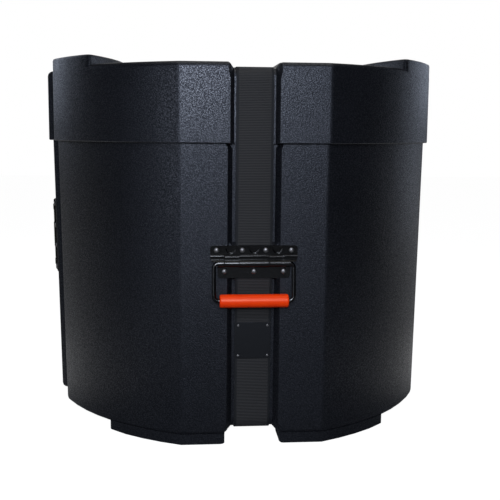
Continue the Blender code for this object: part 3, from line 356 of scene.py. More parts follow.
@dataclass(frozen=True)
class CoatedSteel:
    """Gloss black coating over pressed steel, thinner along the edges."""

    coat: Colour = (0.0012, 0.0012, 0.0012)
    bare: Colour = (0.2, 0.2, 0.2)
    sheen: Colour = (1.0, 0.94, 0.86)
    patches: Noise = (160.0, 5.0, 0.65)
    worn: Span = (0.45, 0.62)
    worn_metal: float = 0.8
    roughness: Span = (0.15, 0.22)
    peel: Noise = (900.0, 2.0)
    relief: Relief = (0.02 * MM, 0.5)

    def build(self) -> Material:
        """Return the material."""
        graph = Graph.material(Slot.BLACK_STEEL.value)
        patches = graph.noise(*self.patches)
        worn = graph.attribute(EASED) * patches.between(*self.worn)
        graph.set(
            Base_Color=graph.shade(worn, self.coat, self.bare),
            Metallic=worn * self.worn_metal,
            Roughness=patches.over(*self.roughness),
            Specular_Tint=self.sheen,
            Coat_Weight=0.12,
            Coat_Roughness=0.06,
        )
        graph.bump(graph.noise(*self.peel), *self.relief)
        return graph.owner


@dataclass(frozen=True)
class PlatedRivet:
    """Dark plated steel with a lightly brushed dome."""

    plating: Colour = (0.27, 0.25, 0.23)
    stain: Colour = (0.16, 0.15, 0.14)
    stains: Noise = (420.0, 4.0)
    tone: Span = (0.3, 0.7)
    roughness: Span = (0.4, 0.5)
    brushing: Noise = (2200.0, 1.0)
    relief: Relief = (0.02 * MM, 0.5)

    def build(self) -> Material:
        """Return the material."""
        graph = Graph.material(Slot.RIVET_STEEL.value)
        stains = graph.noise(*self.stains)
        graph.set(
            Base_Color=graph.shade(stains.between(*self.tone), self.plating, self.stain),
            Metallic=1.0,
            Roughness=stains.over(*self.roughness),
        )
        graph.bump(graph.noise(*self.brushing), *self.relief)
        return graph.owner


@dataclass(frozen=True)
class MouldedGrip:
    """Satin orange-red plastic with a fine moulded texture."""

    bright: Colour = (0.99, 0.05, 0.001)
    deep: Colour = (0.93, 0.038, 0.001)
    sheen: Colour = (1.0, 0.8, 0.52)
    drift: Noise = (70.0, 4.0)
    tone: Span = (0.35, 0.7)
    roughness: Span = (0.3, 0.42)
    grain: Noise = (2400.0, 2.0)
    relief: Relief = (0.05 * MM, 0.5)

    def build(self) -> Material:
        """Return the material."""
        graph = Graph.material(Slot.GRIP.value)
        drift = graph.noise(*self.drift)
        graph.set(
            Base_Color=graph.shade(drift.between(*self.tone), self.bright, self.deep),
            Roughness=drift.over(*self.roughness),
            Specular_IOR_Level=0.42,
            Specular_Tint=self.sheen,
        )
        graph.bump(graph.noise(*self.grain), *self.relief)
        return graph.owner


@dataclass(frozen=True)
class BarePlate:
    """Black satin plate with faint brushing."""

    black: Colour = (0.0025, 0.0025, 0.0027)
    grey: Colour = (0.0055, 0.0055, 0.0058)
    lines_per_metre: Point = (60.0, 60.0, 2600.0)
    roughness: Span = (0.36, 0.48)
    relief: Relief = (0.02 * MM, 0.5)

    def build(self) -> Material:
        """Return the material."""
        graph = Graph.material(Slot.BADGE.value)
        inputs = {"Vector": graph.place(), "Scale": self.lines_per_metre}
        stretched = graph.node("Mapping", inputs).outputs[0]
        lines = graph.value("TexNoise", "Fac", {"Vector": stretched, "Scale": 1.0})
        graph.set(
            Base_Color=graph.shade(lines, self.black, self.grey),
            Roughness=lines.over(*self.roughness),
            Specular_IOR_Level=0.32,
        )
        graph.bump(lines, *self.relief)
        return graph.owner


@dataclass(frozen=True)
class BuckleAcetal:
    """Black acetal with a spark-eroded skin."""

    black: Colour = (0.011, 0.011, 0.012)
    rubbed: Colour = (0.03, 0.03, 0.032)
    drift: Noise = (90.0, 3.0)
    roughness: Span = (0.42, 0.54)
    skin: Noise = (1900.0, 2.0)
    relief: Relief = (0.06 * MM, 0.7)

    def build(self) -> Material:
        """Return the material."""
        graph = Graph.material(Slot.BUCKLE.value)
        drift = graph.noise(*self.drift)
        graph.set(
            Base_Color=graph.shade(graph.attribute(EASED) * drift, self.black, self.rubbed),
            Roughness=drift.over(*self.roughness),
        )
        graph.bump(graph.noise(*self.skin), *self.relief)
        return graph.owner


@dataclass(frozen=True)
class ClosedCellFoam:
    """Dark grey polyethylene foam with fine cells and cut pores."""

    skin: Colour = (0.034, 0.034, 0.036)
    pore: Colour = (0.014, 0.014, 0.015)
    cells: Cells = (620.0, 0.25)
    tone: Span = (0.15, 0.75)
    drift: Noise = (14.0, 3.0)
    roughness: Span = (0.86, 0.96)
    relief: Relief = (0.4 * MM, 0.8)

    def build(self) -> Material:
        """Return the material."""
        graph = Graph.material(Slot.FOAM.value)
        cells = graph.cells(*self.cells)
        graph.set(
            Base_Color=graph.shade(cells.between(*self.tone), self.skin, self.pore),
            Roughness=graph.noise(*self.drift).over(*self.roughness),
        )
        graph.bump(1.0 - cells, *self.relief)
        return graph.owner


@dataclass(frozen=True)
class StudioFloor:
    """Floor that reads white, keeps the object's shadow and shines beside and behind it."""

    albedo: float = 0.18
    camera_glow: float = 0.985
    back_glow: float = 0.2
    back: Span = (-0.25, 0.15)
    side_glow: float = 0.26
    side: Span = (0.28, 0.42)
    side_fade: Span = (0.45, 0.8)

    def build(self) -> Material:
        """Return the material."""
        graph = Graph.material("studio_floor")
        behind = graph.part(graph.place(), "Y").between(*self.back)
        away = graph.value("VectorMath", "Value", {0: graph.place()}, operation="LENGTH")
        near = 1.0 - away.between(*self.side_fade)
        beside = graph.math("ABSOLUTE", graph.part(graph.place(), "X")).between(*self.side) * near
        shine = behind * self.back_glow + beside * self.side_glow
        graph.set(
            Base_Color=(self.albedo, self.albedo, self.albedo),
            Roughness=1.0,
            Specular_IOR_Level=0.0,
            Emission_Color=WHITE,
            Emission_Strength=graph.ray("Camera") * self.camera_glow + graph.ray("Glossy") * shine,
        )
        return graph.owner


@dataclass(frozen=True)
class StudioRoom:
    """World that is white for the camera, pale straight behind the object and dark elsewhere."""

    fill: float = 0.015
    back_glow: float = 0.55
    back: Span = (0.82, 0.97)

    def build(self) -> World:
        """Return the world."""
        graph = Graph(bpy.data.worlds.new("studio_room"), "Background")
        camera, glossy = graph.ray("Camera"), graph.ray("Glossy")
        behind = graph.part(graph.place("Generated"), "Y").between(*self.back) * self.back_glow
        rest = glossy * behind + (1.0 - glossy) * self.fill
        graph.set(Color=WHITE, Strength=camera + (1.0 - camera) * rest)
        return graph.owner


class Finishes:
    """One material for each slot of the record."""

    def __init__(self) -> None:
        """Build every finish once."""
        makers = {
            Slot.SHELL: PebbledShell(),
            Slot.FOAM: ClosedCellFoam(),
            Slot.WEBBING: RibbedWebbing(),
            Slot.BLACK_STEEL: CoatedSteel(),
            Slot.RIVET_STEEL: PlatedRivet(),
            Slot.GRIP: MouldedGrip(),
            Slot.BADGE: BarePlate(),
            Slot.BUCKLE: BuckleAcetal(),
        }
        self.materials = {slot: maker.build() for slot, maker in makers.items()}

    def dress(self, piece: Object, slot: Slot) -> None:
        """Give a piece its finish and name the slot it comes from.

        Args:
            piece: The finished object.
            slot: Its material slot.
        """
        piece.data.materials.clear()
        piece.data.materials.append(self.materials[slot])
        LOG.info("%s: %d faces", piece.name, len(piece.data.polygons))

    def place(self, piece: Object, slot: Slot, body: Body, node: str) -> None:
        """Dress a piece that stands for one node and rides on one body.

        Args:
            piece: The finished object.
            slot: Its material slot.
            body: The body that it rides on.
            node: The node that it replaces.
        """
        self.dress(piece, slot)
        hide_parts(node)
        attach(piece, body.value)


@dataclass(frozen=True)
class Easing:
    """Rounding of sharp edges: bevel width, least turn, faces across it and angle shaded smooth."""

    width: float
    sharp_degrees: float = 34.0
    segments: int = 2
    smooth_degrees: float = 32.0


def pick(piece: Object) -> None:
    """Make one object the only selected and active one."""
    bpy.ops.object.select_all(action="DESELECT")
    piece.select_set(True)
    bpy.context.view_layer.objects.active = piece


@contextmanager
def editing(piece: Object, action: str = "SELECT") -> Iterator[None]:
    """Edit mode on one object that starts with all of it selected unless told otherwise.

    Args:
        piece: The object to edit.
        action: What is done to the selection first.
    """
    pick(piece)
    bpy.ops.object.mode_set(mode="EDIT")
    bpy.ops.mesh.select_mode(type="EDGE")
    bpy.ops.mesh.select_all(action=action)
    yield
    bpy.ops.object.mode_set(mode="OBJECT")


def added(name: str, mesh: ID) -> Object:
    """Link a new object that holds a mesh or other data."""
    made = bpy.data.objects.new(name, mesh)
    bpy.context.scene.collection.objects.link(made)
    return made


def lofted(name: str, rings: Sequence[Sequence[Sequence[float]]]) -> Object:
    """Join rings of equal length into a tube with flat ends and faces that look outward.

    Args:
        name: Name of the object.
        rings: The rings in order, each a list of corners.

    Returns:
        The closed tube.
    """
    count = len(rings[0])
    last = (len(rings) - 1) * count
    faces = []
    for low in range(0, last, count):
        for j in range(count):
            k = (j + 1) % count
            faces.append((low + j, low + k, low + count + k, low + count + j))
    faces += [tuple(reversed(range(count))), tuple(range(last, last + count))]
    mesh = bpy.data.meshes.new(name)
    mesh.from_pydata([spot for ring in rings for spot in ring], [], faces)
    made = added(name, mesh)
    with editing(made):
        bpy.ops.mesh.normals_make_consistent(inside=False)
    return made


def prism(name: str, outline: Sequence[Spot], low: float, high: float) -> Object:
    """Stretch an outline of (x, z) points from y = low to y = high."""
    return lofted(name, [[(x, y, z) for x, z in outline] for y in (low, high)])


def spun(name: str, profile: Sequence[Spot], steps: int) -> Object:
    """Spin a profile of (radius, height) points about Z.

    Args:
        name: Name of the object.
        profile: Points from one end of the axis to the other.
        steps: Number of faces round the axis.

    Returns:
        The closed solid of revolution.
    """
    mesh = bpy.data.meshes.new(name)
    points = [(radius, 0.0, height) for radius, height in profile]
    mesh.from_pydata(points, [(i, i + 1) for i in range(len(points) - 1)], [])
    made = added(name, mesh)
    with editing(made):
        bpy.ops.mesh.spin(steps=steps, angle=2 * math.pi, center=(0, 0, 0), axis=(0, 0, 1))
        bpy.ops.mesh.select_all(action="SELECT")
        bpy.ops.mesh.remove_doubles(threshold=MERGE)
        bpy.ops.mesh.normals_make_consistent(inside=False)
    return made


def solid_copy(node: str, name: str) -> Object:
    """Copy a node of the frame as one closed mesh with whole flat faces.

    Args:
        node: The node's name.
        name: Name of the copy.

    Returns:
        The new object.
    """
    made = added(name, bpy.data.objects[node].data.copy())
    made.data.materials.clear()
    pick(made)
    bpy.ops.mesh.customdata_custom_splitnormals_clear()
    with editing(made):
        bpy.ops.mesh.remove_doubles(threshold=MERGE)
        bpy.ops.mesh.dissolve_limited(angle_limit=math.radians(FLAT_DEGREES))
    return made


def breadth(piece: Object, face: MeshPolygon) -> float:
    """Four times a face's area over its perimeter: a square's side, or twice a strip's width."""
    spots = [piece.data.vertices[i].co for i in face.vertices]
    return 4 * face.area / sum((a - b).length for a, b in zip(spots, spots[1:] + spots[:1]))


def ease_edges(piece: Object, easing: Easing) -> None:
    """Bevel the sharp edges and mark the narrow new faces as eased.

    Args:
        piece: The object to work on.
        easing: How its edges are rounded.
    """
    with editing(piece, "DESELECT"):
        bpy.ops.mesh.edges_select_sharp(sharpness=math.radians(easing.sharp_degrees))
        options = {"profile": 0.5, "affect": "EDGES", "clamp_overlap": True}
        bpy.ops.mesh.bevel(offset=easing.width, segments=easing.segments, **options)
    widest = 2 * easing.width
    eased = [float(face.select and breadth(piece, face) < widest) for face in piece.data.polygons]
    layer = piece.data.attributes.new(EASED, "FLOAT", "FACE")
    layer.data.foreach_set("value", eased)


def smooth(piece: Object, degrees: float) -> None:
    """Shade smooth below an angle, with normals weighted towards the large faces.

    Args:
        piece: The object to shade.
        degrees: Edges that turn less than this look smooth.
    """
    pick(piece)
    bpy.ops.object.shade_smooth_by_angle(angle=math.radians(degrees))
    weighted = piece.modifiers.new("weighted", "WEIGHTED_NORMAL")
    weighted.keep_sharp = True
    bpy.ops.object.modifier_apply(modifier=weighted.name)


def eased_copy(node: str, name: str, easing: Easing) -> Object:
    """Copy a node with its edges rounded and its faces shaded smooth.

    Args:
        node: The node's name.
        name: Name of the copy.
        easing: How its edges are rounded.

    Returns:
        The new object.
    """
    made = solid_copy(node, name)
    ease_edges(made, easing)
    smooth(made, easing.smooth_degrees)
    return made


def cut(piece: Object, tool: Object, operation: str = "DIFFERENCE") -> None:
    """Apply a Boolean of one object on another and remove the tool.

    Args:
        piece: The object that changes.
        tool: The object that cuts it.
        operation: The kind of Boolean.
    """
    pick(piece)
    step = piece.modifiers.new("cut", "BOOLEAN")
    step.operation = operation
    step.object = tool
    bpy.ops.object.modifier_apply(modifier=step.name)
    bpy.data.objects.remove(tool)


def settle(piece: Object, matrix: Matrix) -> None:
    """Put an object's place into its mesh."""
    piece.data.transform(matrix @ piece.matrix_basis)
    piece.matrix_basis = Matrix.Identity(4)


def arc(center: Spot, radius: float, start: float, end: float, steps: int) -> list[Spot]:
    """Points of an arc between two angles in degrees, ends included.

    Args:
        center: Middle of the arc.
        radius: Its radius.
        start: First angle.
        end: Last angle.
        steps: Number of chords.

    Returns:
        The points in order.
    """
    points = []
    for k in range(steps + 1):
        angle = math.radians(start + (end - start) * k / steps)
        points.append((center[0] + radius * math.cos(angle), center[1] + radius * math.sin(angle)))
    return points


def mirrored(right: Sequence[Spot]) -> list[Spot]:
    """A path's right half joined to its mirror image on the left."""
    return [*right, *((-x, z) for x, z in reversed(right))]


def seated(place: Vector, along: Vector, out: Vector) -> Matrix:
    """Frame at a place on a wall: x along it, -y outward and z up it."""
    up = along.cross(-out).normalized()
    return Matrix.Translation(place) @ Matrix((along, -out, up)).transposed().to_4x4()


def facing(node: str, direction: Vector, spread_degrees: float = 12.0) -> Vector:
    """Mean normal of a node's faces that look about one way.

    Args:
        node: The node's name.
        direction: The rough direction.
        spread_degrees: How far a face may turn from it.

    Returns:
        The unit normal.
    """
    total = Vector()
    for face in bpy.data.objects[node].data.polygons:
        if face.normal.angle(direction, math.pi) < math.radians(spread_degrees):
            total += face.normal * face.area
    return total.normalized()


@dataclass(frozen=True)
class Softbox:
    """One rectangular lamp: where it hangs, what it faces, its size, power in watts and colour."""

    name: str
    place: Point
    aim: Point
    size: Spot
    power: float
    colour: Colour = DAYLIGHT

    def hang(self) -> None:
        """Add the lamp to the scene."""
        data = bpy.data.lights.new(self.name, "AREA")
        data.shape = "RECTANGLE"
        data.size, data.size_y = self.size
        data.energy = self.power
        data.color = self.colour
        place = Vector(self.place)
        turn = (Vector(self.aim) - place).to_track_quat("-Z", "Y")
        added(self.name, data).matrix_world = Matrix.Translation(place) @ turn.to_matrix().to_4x4()


@dataclass
class Studio:
    """Camera, lamps, world and floor."""

    eye: Vector = Vector((-0.108, -1.4511, 0.4407))
    look: Vector = Vector((0.0889, 0.9957, -0.1377))
    roll: float = 0.0079
    lens: float = 62.56
    floor_size: float = 14.0
    lamps: tuple[Softbox, ...] = (
        Softbox("key", (-0.1, -1.9, 0.78), (0.0, -0.28, 0.4), (0.4, 0.4), 18.5),
        Softbox("key_above", (-0.15, -1.5, 1.3), (0.0, -0.28, 0.3), (1.0, 0.22), 8.0),
        Softbox("fill_left", (-1.2, -1.25, 0.55), (-0.15, -0.2, 0.4), (0.3, 0.8), 3.0),
        Softbox("rim_left", (-1.4, 1.1, 0.9), (0.0, 0.0, 0.35), (0.8, 0.8), 3.2),
        Softbox("rim_right", (1.4, 1.1, 0.9), (0.0, 0.0, 0.35), (0.8, 0.8), 1.9),
        Softbox("rim_right_low", (1.5, 0.7, 0.5), (0.0, 0.0, 0.3), (0.8, 0.8), 1.0),
        Softbox("top", (0.0, -0.1, 1.9), (0.0, 0.0, 0.5), (1.4, 1.4), 6.0, WHITE),
    )

    def camera(self) -> None:
        """Stand the camera at the photograph's viewpoint."""
        data = bpy.data.cameras.new("camera")
        data.lens = self.lens
        data.sensor_width = 36.0
        made = added("camera", data)
        turn = self.look.to_track_quat("-Z", "Y") @ Quaternion((0, 0, 1), self.roll)
        made.matrix_world = Matrix.Translation(self.eye) @ turn.to_matrix().to_4x4()
        bpy.context.scene.camera = made

    def floor(self) -> None:
        """Lay the floor under the feet."""
        bpy.ops.mesh.primitive_plane_add(size=self.floor_size, location=(0, 0, 0))
        made = bpy.context.active_object
        made.name = "studio_floor"
        made.data.materials.append(StudioFloor().build())

    def build(self) -> None:
        """Set up the whole studio."""
        bpy.context.scene.view_settings.view_transform = "Standard"
        self.camera()
        bpy.context.scene.world = StudioRoom().build()
        self.floor()
        for lamp in self.lamps:
            lamp.hang()


@dataclass
class Shells:
    """Base and lid mouldings."""

    finishes: Finishes
    base: Easing = Easing(1.2 * MM, segments=3, smooth_degrees=34.0)
    lid: Easing = Easing(2.0 * MM, segments=3, smooth_degrees=34.0)

    def build(self) -> None:
        """Ease and dress both mouldings."""
        for node, body, easing in (
            ("base_shell", Body.BASE, self.base),
            ("lid_shell", Body.LID, self.lid),
        ):
            made = eased_copy(node, "moulded_" + node, easing)
            self.finishes.place(made, Slot.SHELL, body, node)


@dataclass
class Lining:
    """Foam pads and liner panels."""

    finishes: Finishes
    easing: Easing = Easing(2.0 * MM)

    def build(self) -> None:
        """Soften and dress each piece of foam."""
        nodes = ["base_floor_pad", "lid_pad"]
        nodes += ["base_wall_liner_" + side for side in ("front", "right", "back", "left")]
        for node in nodes:
            made = eased_copy(node, "foam_" + node, self.easing)
            body = Body.LID if node == "lid_pad" else Body.BASE
            self.finishes.place(made, Slot.FOAM, body, node)


@dataclass
class Webbing:
    """Closing strap in three lengths: one under the base and two that cross to the lid."""

    finishes: Finishes
    width: float = 50.8 * MM
    thick: float = 1.8 * MM
    edge_steps: int = 6
    corner_cut: float = 2.5 * MM
    corner_most: float = 0.45
    corner_steps: int = 4
    step: float = 6.0 * MM
    smooth_degrees: float = 60.0

    def route(self, node: str) -> Route:
        """Mid-line of a webbing node, read from the outline of its right side.

        Args:
            node: The node's name.

        Returns:
            Points (y, z) from one end of the webbing to the other.
        """
        work = solid_copy(node, "route")
        mesh = work.data
        side = max(mesh.polygons, key=lambda f: (round(f.normal.x, 2), f.area))
        ring = [Vector(mesh.vertices[i].co.yz) for i in side.vertices]
        bpy.data.objects.remove(work)
        first, last = self.end_caps(ring)
        outer = ring[first + 1 : last + 1]
        inner = (ring[last + 1 :] + ring[: first + 1])[::-1]
        slack = abs(len(outer) - len(inner))
        points = [(outer[0] + inner[0]) / 2]
        for i, spot in enumerate(outer[1:-1], 1):
            near = inner[max(0, i - slack) : i + slack + 1]
            points.append((spot + min(near, key=lambda p: (p - spot).length)) / 2)
        return points + [(outer[-1] + inner[-1]) / 2]

    def end_caps(self, ring: Sequence[Vector]) -> tuple[int, int]:
        """Find the two short edges that close a ribbon's outline.

        Args:
            ring: Corners of the outline in order.

        Returns:
            Index of each end edge's first corner, the lower one first.
        """
        count = len(ring)
        misfits = []
        for i in range(count):
            before = (ring[i] - ring[i - 1]).normalized()
            here = ring[(i + 1) % count] - ring[i]
            after = (ring[(i + 2) % count] - ring[(i + 1) % count]).normalized()
            across = here.normalized()
            bend = abs(before.dot(across)) + abs(across.dot(after))
            misfits.append((bend + abs(here.length / self.thick - 1.0), i))
        first, last = sorted(i for _, i in sorted(misfits)[:2])
        return first, last

    def softened(self, points: Route) -> Route:
        """Round each corner of a route and space its points evenly.

        Args:
            points: The route.

        Returns:
            The rounded route.
        """
        rounded = [points[0]]
        for before, here, after in zip(points, points[1:], points[2:]):
            first, second = before - here, after - here
            longest = self.corner_most * min(first.length, second.length)
            reach = min(self.corner_cut, longest)
            start = here + first.normalized() * reach
            end = here + second.normalized() * reach
            for k in range(self.corner_steps + 1):
                t = k / self.corner_steps
                rounded.append(start * (1 - t) ** 2 + here * 2 * t * (1 - t) + end * t**2)
        rounded.append(points[-1])
        spaced = [rounded[0]]
        for a, b in zip(rounded, rounded[1:]):
            pieces = max(1, math.ceil((b - a).length / self.step))
            spaced += [a.lerp(b, k / pieces) for k in range(1, pieces + 1)]
        return spaced

    def section(self) -> list[Point]:
        """Ring of the section: x, height off the mid-line, and place across for the weave."""
        half, round_ = self.width / 2, self.thick / 2
        right = arc((half - round_, 0.0), round_, -90, 90, self.edge_steps)
        left = arc((-half + round_, 0.0), round_, 90, 270, self.edge_steps)
        return [(x, h, x / self.width + 0.5) for x, h in right + left]

    def band(self, name: str, points: Route, middle: float) -> Object:
        """Sweep the section along a route.

        Args:
            name: Name of the piece.
            points: The route's (y, z) points.
            middle: The webbing's middle in x.

        Returns:
            The closed band with its weave map.
        """
        ring = self.section()
        rings, weave, along = [], [], 0.0
        for i, here in enumerate(points):
            before, after = points[max(i - 1, 0)], points[min(i + 1, len(points) - 1)]
            tangent = (after - before).normalized()
            normal = Vector((-tangent.y, tangent.x))
            along += (here - before).length
            rings.append([(middle + x, *(here + normal * height)) for x, height, _ in ring])
            weave += [(across, along) for _, _, across in ring]
        made = lofted(name, rings)
        layer = made.data.uv_layers.new(name=WEAVE)
        for loop in made.data.loops:
            layer.data[loop.index].uv = weave[loop.vertex_index]
        pick(made)
        bpy.ops.object.shade_smooth_by_angle(angle=math.radians(self.smooth_degrees))
        return made

    def joined_route(self, free: str, lid: str) -> Route:
        """One route through a free run and the run on the lid that it meets.

        Args:
            free: Node of the free run.
            lid: Node of the run on the lid.

        Returns:
            The route from the free run's lower end.
        """
        low, high = self.route(free), self.route(lid)
        if low[0].y > low[-1].y:
            low.reverse()
        if (high[-1] - low[-1]).length < (high[0] - low[-1]).length:
            high.reverse()
        return low[:-1] + [(low[-1] + high[0]) / 2] + high[1:]

    def build(self) -> None:
        """Make the run under the base and the two runs that cross to the lid."""
        low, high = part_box("strap_base")
        middle = (low.x + high.x) / 2
        base = self.band("webbing_base", self.softened(self.route("strap_base")), middle)
        self.finishes.place(base, Slot.WEBBING, Body.BASE, "strap_base")
        for side in ("front", "back"):
            free, lid = "strap_free_" + side, "strap_lid_" + side
            made = self.band("webbing_" + side, self.softened(self.joined_route(free, lid)), middle)
            self.finishes.dress(made, Slot.WEBBING)
            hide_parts(free, lid)
            low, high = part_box(free)
            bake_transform(made)


@dataclass
class CarryHandle:
    """Pressed plate, rivets, bail and grip, drawn with the bail's axis at the origin."""

    finishes: Finishes
    prefix: str
    body: Body
    outward: Vector
    joint: Mapping[str, Any]
    sheet: float = 1.5 * MM
    easing: Easing = Easing(0.35 * MM, 40.0, smooth_degrees=40.0)
    half: float = 60.0 * MM
    lower_half: float = 50.0 * MM
    above: float = 24.9 * MM
    below: float = 20.5 * MM
    shoulder: float = 3.6 * MM
    corner: float = 4.0 * MM
    corner_steps: int = 6
    bead_above: float = 10.2 * MM
    bead_half: float = 2.0 * MM
    bead_rise: float = 2.2 * MM
    bead_power: float = 1.3
    bead_steps: int = 12
    bead_step: float = 1.3 * MM
    knuckles: tuple[float, ...] = (0.16, 0.33, 0.67, 0.84)
    knuckle_step: float = 0.6 * MM
    knuckle_slope: float = 2.2 * MM
    slope_steps: int = 4
    dimple_radius: float = 6.2 * MM
    dimple_wall: float = 1.9 * MM
    dimple_depth: float = 0.9 * MM
    dimple_pitch: float = 32.0 * MM
    dimple_above: float = 20.1 * MM
    dimple_steps: int = 8
    dimple_overrun: float = 0.06
    notch: Spot = (1.4 * MM, 4.5 * MM)
    notch_places: tuple[float, ...] = (-9.0 * MM, 12.0 * MM)
    notch_below: float = 10.5 * MM
    notch_sink: float = 0.6
    rod: float = 2.75 * MM
    running: float = 0.45 * MM
    bail_half: float = 55.0 * MM
    bail_drop: float = 51.2 * MM
    bail_bend: float = 7.4 * MM
    ear_bend: float = 5.5 * MM
    pivot: float = 14.0 * MM
    grip_half: float = 47.5 * MM
    grip_radius: float = 9.2 * MM
    grip_round: float = 2.4 * MM
    grip_steps: int = 8
    rivet_radius: float = 3.8 * MM
    rivet_rise: float = 2.3 * MM
    rivet_shank: float = 0.6
    rivet_power: float = 0.85
    rivet_steps: int = 9
    upper_rivets: tuple[float, ...] = (-51.5 * MM, -16.1 * MM, 16.1 * MM, 51.5 * MM)
    upper_rivet_above: float = 18.3 * MM
    lower_rivets: tuple[float, ...] = (-40.8 * MM, 0.0, 40.8 * MM)
    lower_rivet_below: float = 11.0 * MM

    def seat(self) -> Matrix:
        """Frame at the bail's axis: x along the plate, -y outward, z up the plate."""
        along = -Vector(self.joint["axis"]).normalized()
        out = facing(self.prefix + "_handle_plate", self.outward)
        return seated(Vector(self.joint["pos_m"]), along, out)

    def middles(self) -> list[float]:
        """Middle in x of each slope between two knuckles."""
        return [(2 * share - 1) * self.half for share in self.knuckles]

    def ramp(self, x: float, place: float) -> float:
        """Smooth step of one knuckle's slope."""
        t = min(1.0, max(0.0, (x - place) / self.knuckle_slope + 0.5))
        return t * t * (3 - 2 * t)

    def level(self, x: float) -> float:
        """Share of the knuckles' full step at x: 1 at the ends and in the middle, 0 between."""
        first, second, third, last = (self.ramp(x, place) for place in self.middles())
        return 1.0 - first + second - third + last

    def barrel(self, x: float) -> float:
        """Outer radius of the pressed barrel at x."""
        return self.rod + self.running + self.sheet + self.knuckle_step * self.level(x)

    def plate_ring(self, x: float) -> list[Vector]:
        """Section of the pressed sheet at x, its back on the wall side.

        Args:
            x: Place along the plate.

        Returns:
            Corners of the section in order.
        """
        back = self.rod
        radius = self.barrel(x)
        inner = radius - self.sheet
        bead = self.bead_above - self.bead_step * (1.0 - self.level(x))
        outside = [(self.above, self.sheet)]
        for k in range(self.bead_steps + 1):
            turn = math.pi * k / self.bead_steps
            lift = self.bead_rise * math.sin(turn) ** self.bead_power
            outside.append((bead + self.bead_half * math.cos(turn), self.sheet + lift))
        outside.append((radius, self.sheet))
        outside += [(z, back + u) for z, u in arc((0, 0), radius, 0, 180, steps=24)]
        outside += [(-radius, self.sheet), (-self.below, self.sheet)]
        inside = [(-self.below, 0.0), (-inner, 0.0)]
        inside += [(z, back + u) for z, u in arc((0, 0), inner, 180, 0, steps=12)]
        inside += [(inner, 0.0), (self.above, 0.0)]
        return [Vector((x, back - u, z)) for z, u in outside + inside]

    def stations(self) -> list[float]:
        """Places along the plate: close together over each knuckle's slope."""
        places = [-self.half]
        for middle in self.middles():
            for k in range(self.slope_steps + 1):
                places.append(middle + self.knuckle_slope * (k / self.slope_steps - 0.5))
        return places + [self.half]

    def outline(self) -> list[Spot]:
        """Stepped outline of the plate with rounded corners."""
        r, steps = self.corner, self.corner_steps
        right = arc((self.lower_half - r, -self.below + r), r, -90, 0, steps)
        right += [(self.lower_half, self.shoulder)]
        right += arc((self.half - r, self.shoulder + r), r, -90, 0, steps)
        right += arc((self.half - r, self.above - r), r, 0, 90, steps)
        return mirrored(right)

    def plate(self) -> Object:
        """Press the plate: bead, barrel with knuckles, dimples and notches."""
        rings = [self.plate_ring(x) for x in self.stations()]
        made = lofted(self.prefix + "_pressed_plate", rings)
        reach = TOOL_REACH * self.barrel(0.0)
        cut(made, prism("outline", self.outline(), -reach, reach), "INTERSECT")
        ease_edges(made, self.easing)
        face = self.rod - self.sheet
        for k in (-1, 0, 1):
            dish = self.dish()
            settle(dish, Matrix.Translation((k * self.dimple_pitch, face, self.dimple_above)))
            cut(made, dish)
        wide, tall = (size / 2 for size in self.notch)
        for x in self.notch_places:
            z = -self.notch_below
            corners = [(x + u * wide, z + v * tall) for u, v in SQUARE]
            cut(made, prism("notch", corners, face - self.sheet, face + self.sheet * self.notch_sink))
        smooth(made, self.easing.smooth_degrees)
        return made

    def dish(self) -> Object:
        """Turn the tool of a dimple: a flat floor and a wall that curves both ways, floor on +y."""
        depth = self.dimple_depth
        floor = self.dimple_radius - self.dimple_wall / 2
        profile = [(0.0, -depth)]
        for k in range(self.dimple_steps + 1):
            t = k / self.dimple_steps
            rise = depth * (1.0 + self.dimple_overrun) * t * t * (3 - 2 * t)
            profile.append((floor + self.dimple_wall * t, rise - depth))
        profile += [(floor + self.dimple_wall, self.sheet), (0.0, self.sheet)]
        made = spun("dish", profile, steps=48)
        made.data.transform(Matrix.Rotation(math.pi / 2, 4, "X"))
        return made

    def rivet(self) -> Object:
        """Turn one domed rivet head, its underside on y = 0 and its dome along -y."""
        radius, shank = self.rivet_radius, self.rivet_radius * self.rivet_shank
        profile = [(0.0, -self.sheet), (shank, -self.sheet), (shank, 0.0), (radius, 0.0)]
        for k in range(1, self.rivet_steps):
            turn = math.pi / 2 * k / self.rivet_steps
            rise = self.rivet_rise * math.sin(turn) ** self.rivet_power
            profile.append((radius * math.cos(turn), rise))
        made = spun("rivet", profile + [(0.0, self.rivet_rise)], steps=32)
        smooth(made, degrees=45.0)
        made.data.transform(Matrix.Rotation(math.pi / 2, 4, "X"))
        return made

    def rivets(self, seat: Matrix) -> None:
        """Copy the rivet to its seven places.

        Args:
            seat: The handle's frame.
        """
        places = [(x, self.upper_rivet_above) for x in self.upper_rivets]
        places += [(x, -self.lower_rivet_below) for x in self.lower_rivets]
        model = self.rivet()
        for index, (x, z) in enumerate(places, 1):
            made = added(f"{self.prefix}_domed_rivet_{index}", model.data.copy())
            settle(made, seat @ Matrix.Translation((x, self.rod - self.sheet - GAP, z)))
            node = f"{self.prefix}_handle_rivet_{index}"
            self.finishes.place(made, Slot.RIVET_STEEL, Body.BASE, node)
        bpy.data.objects.remove(model)

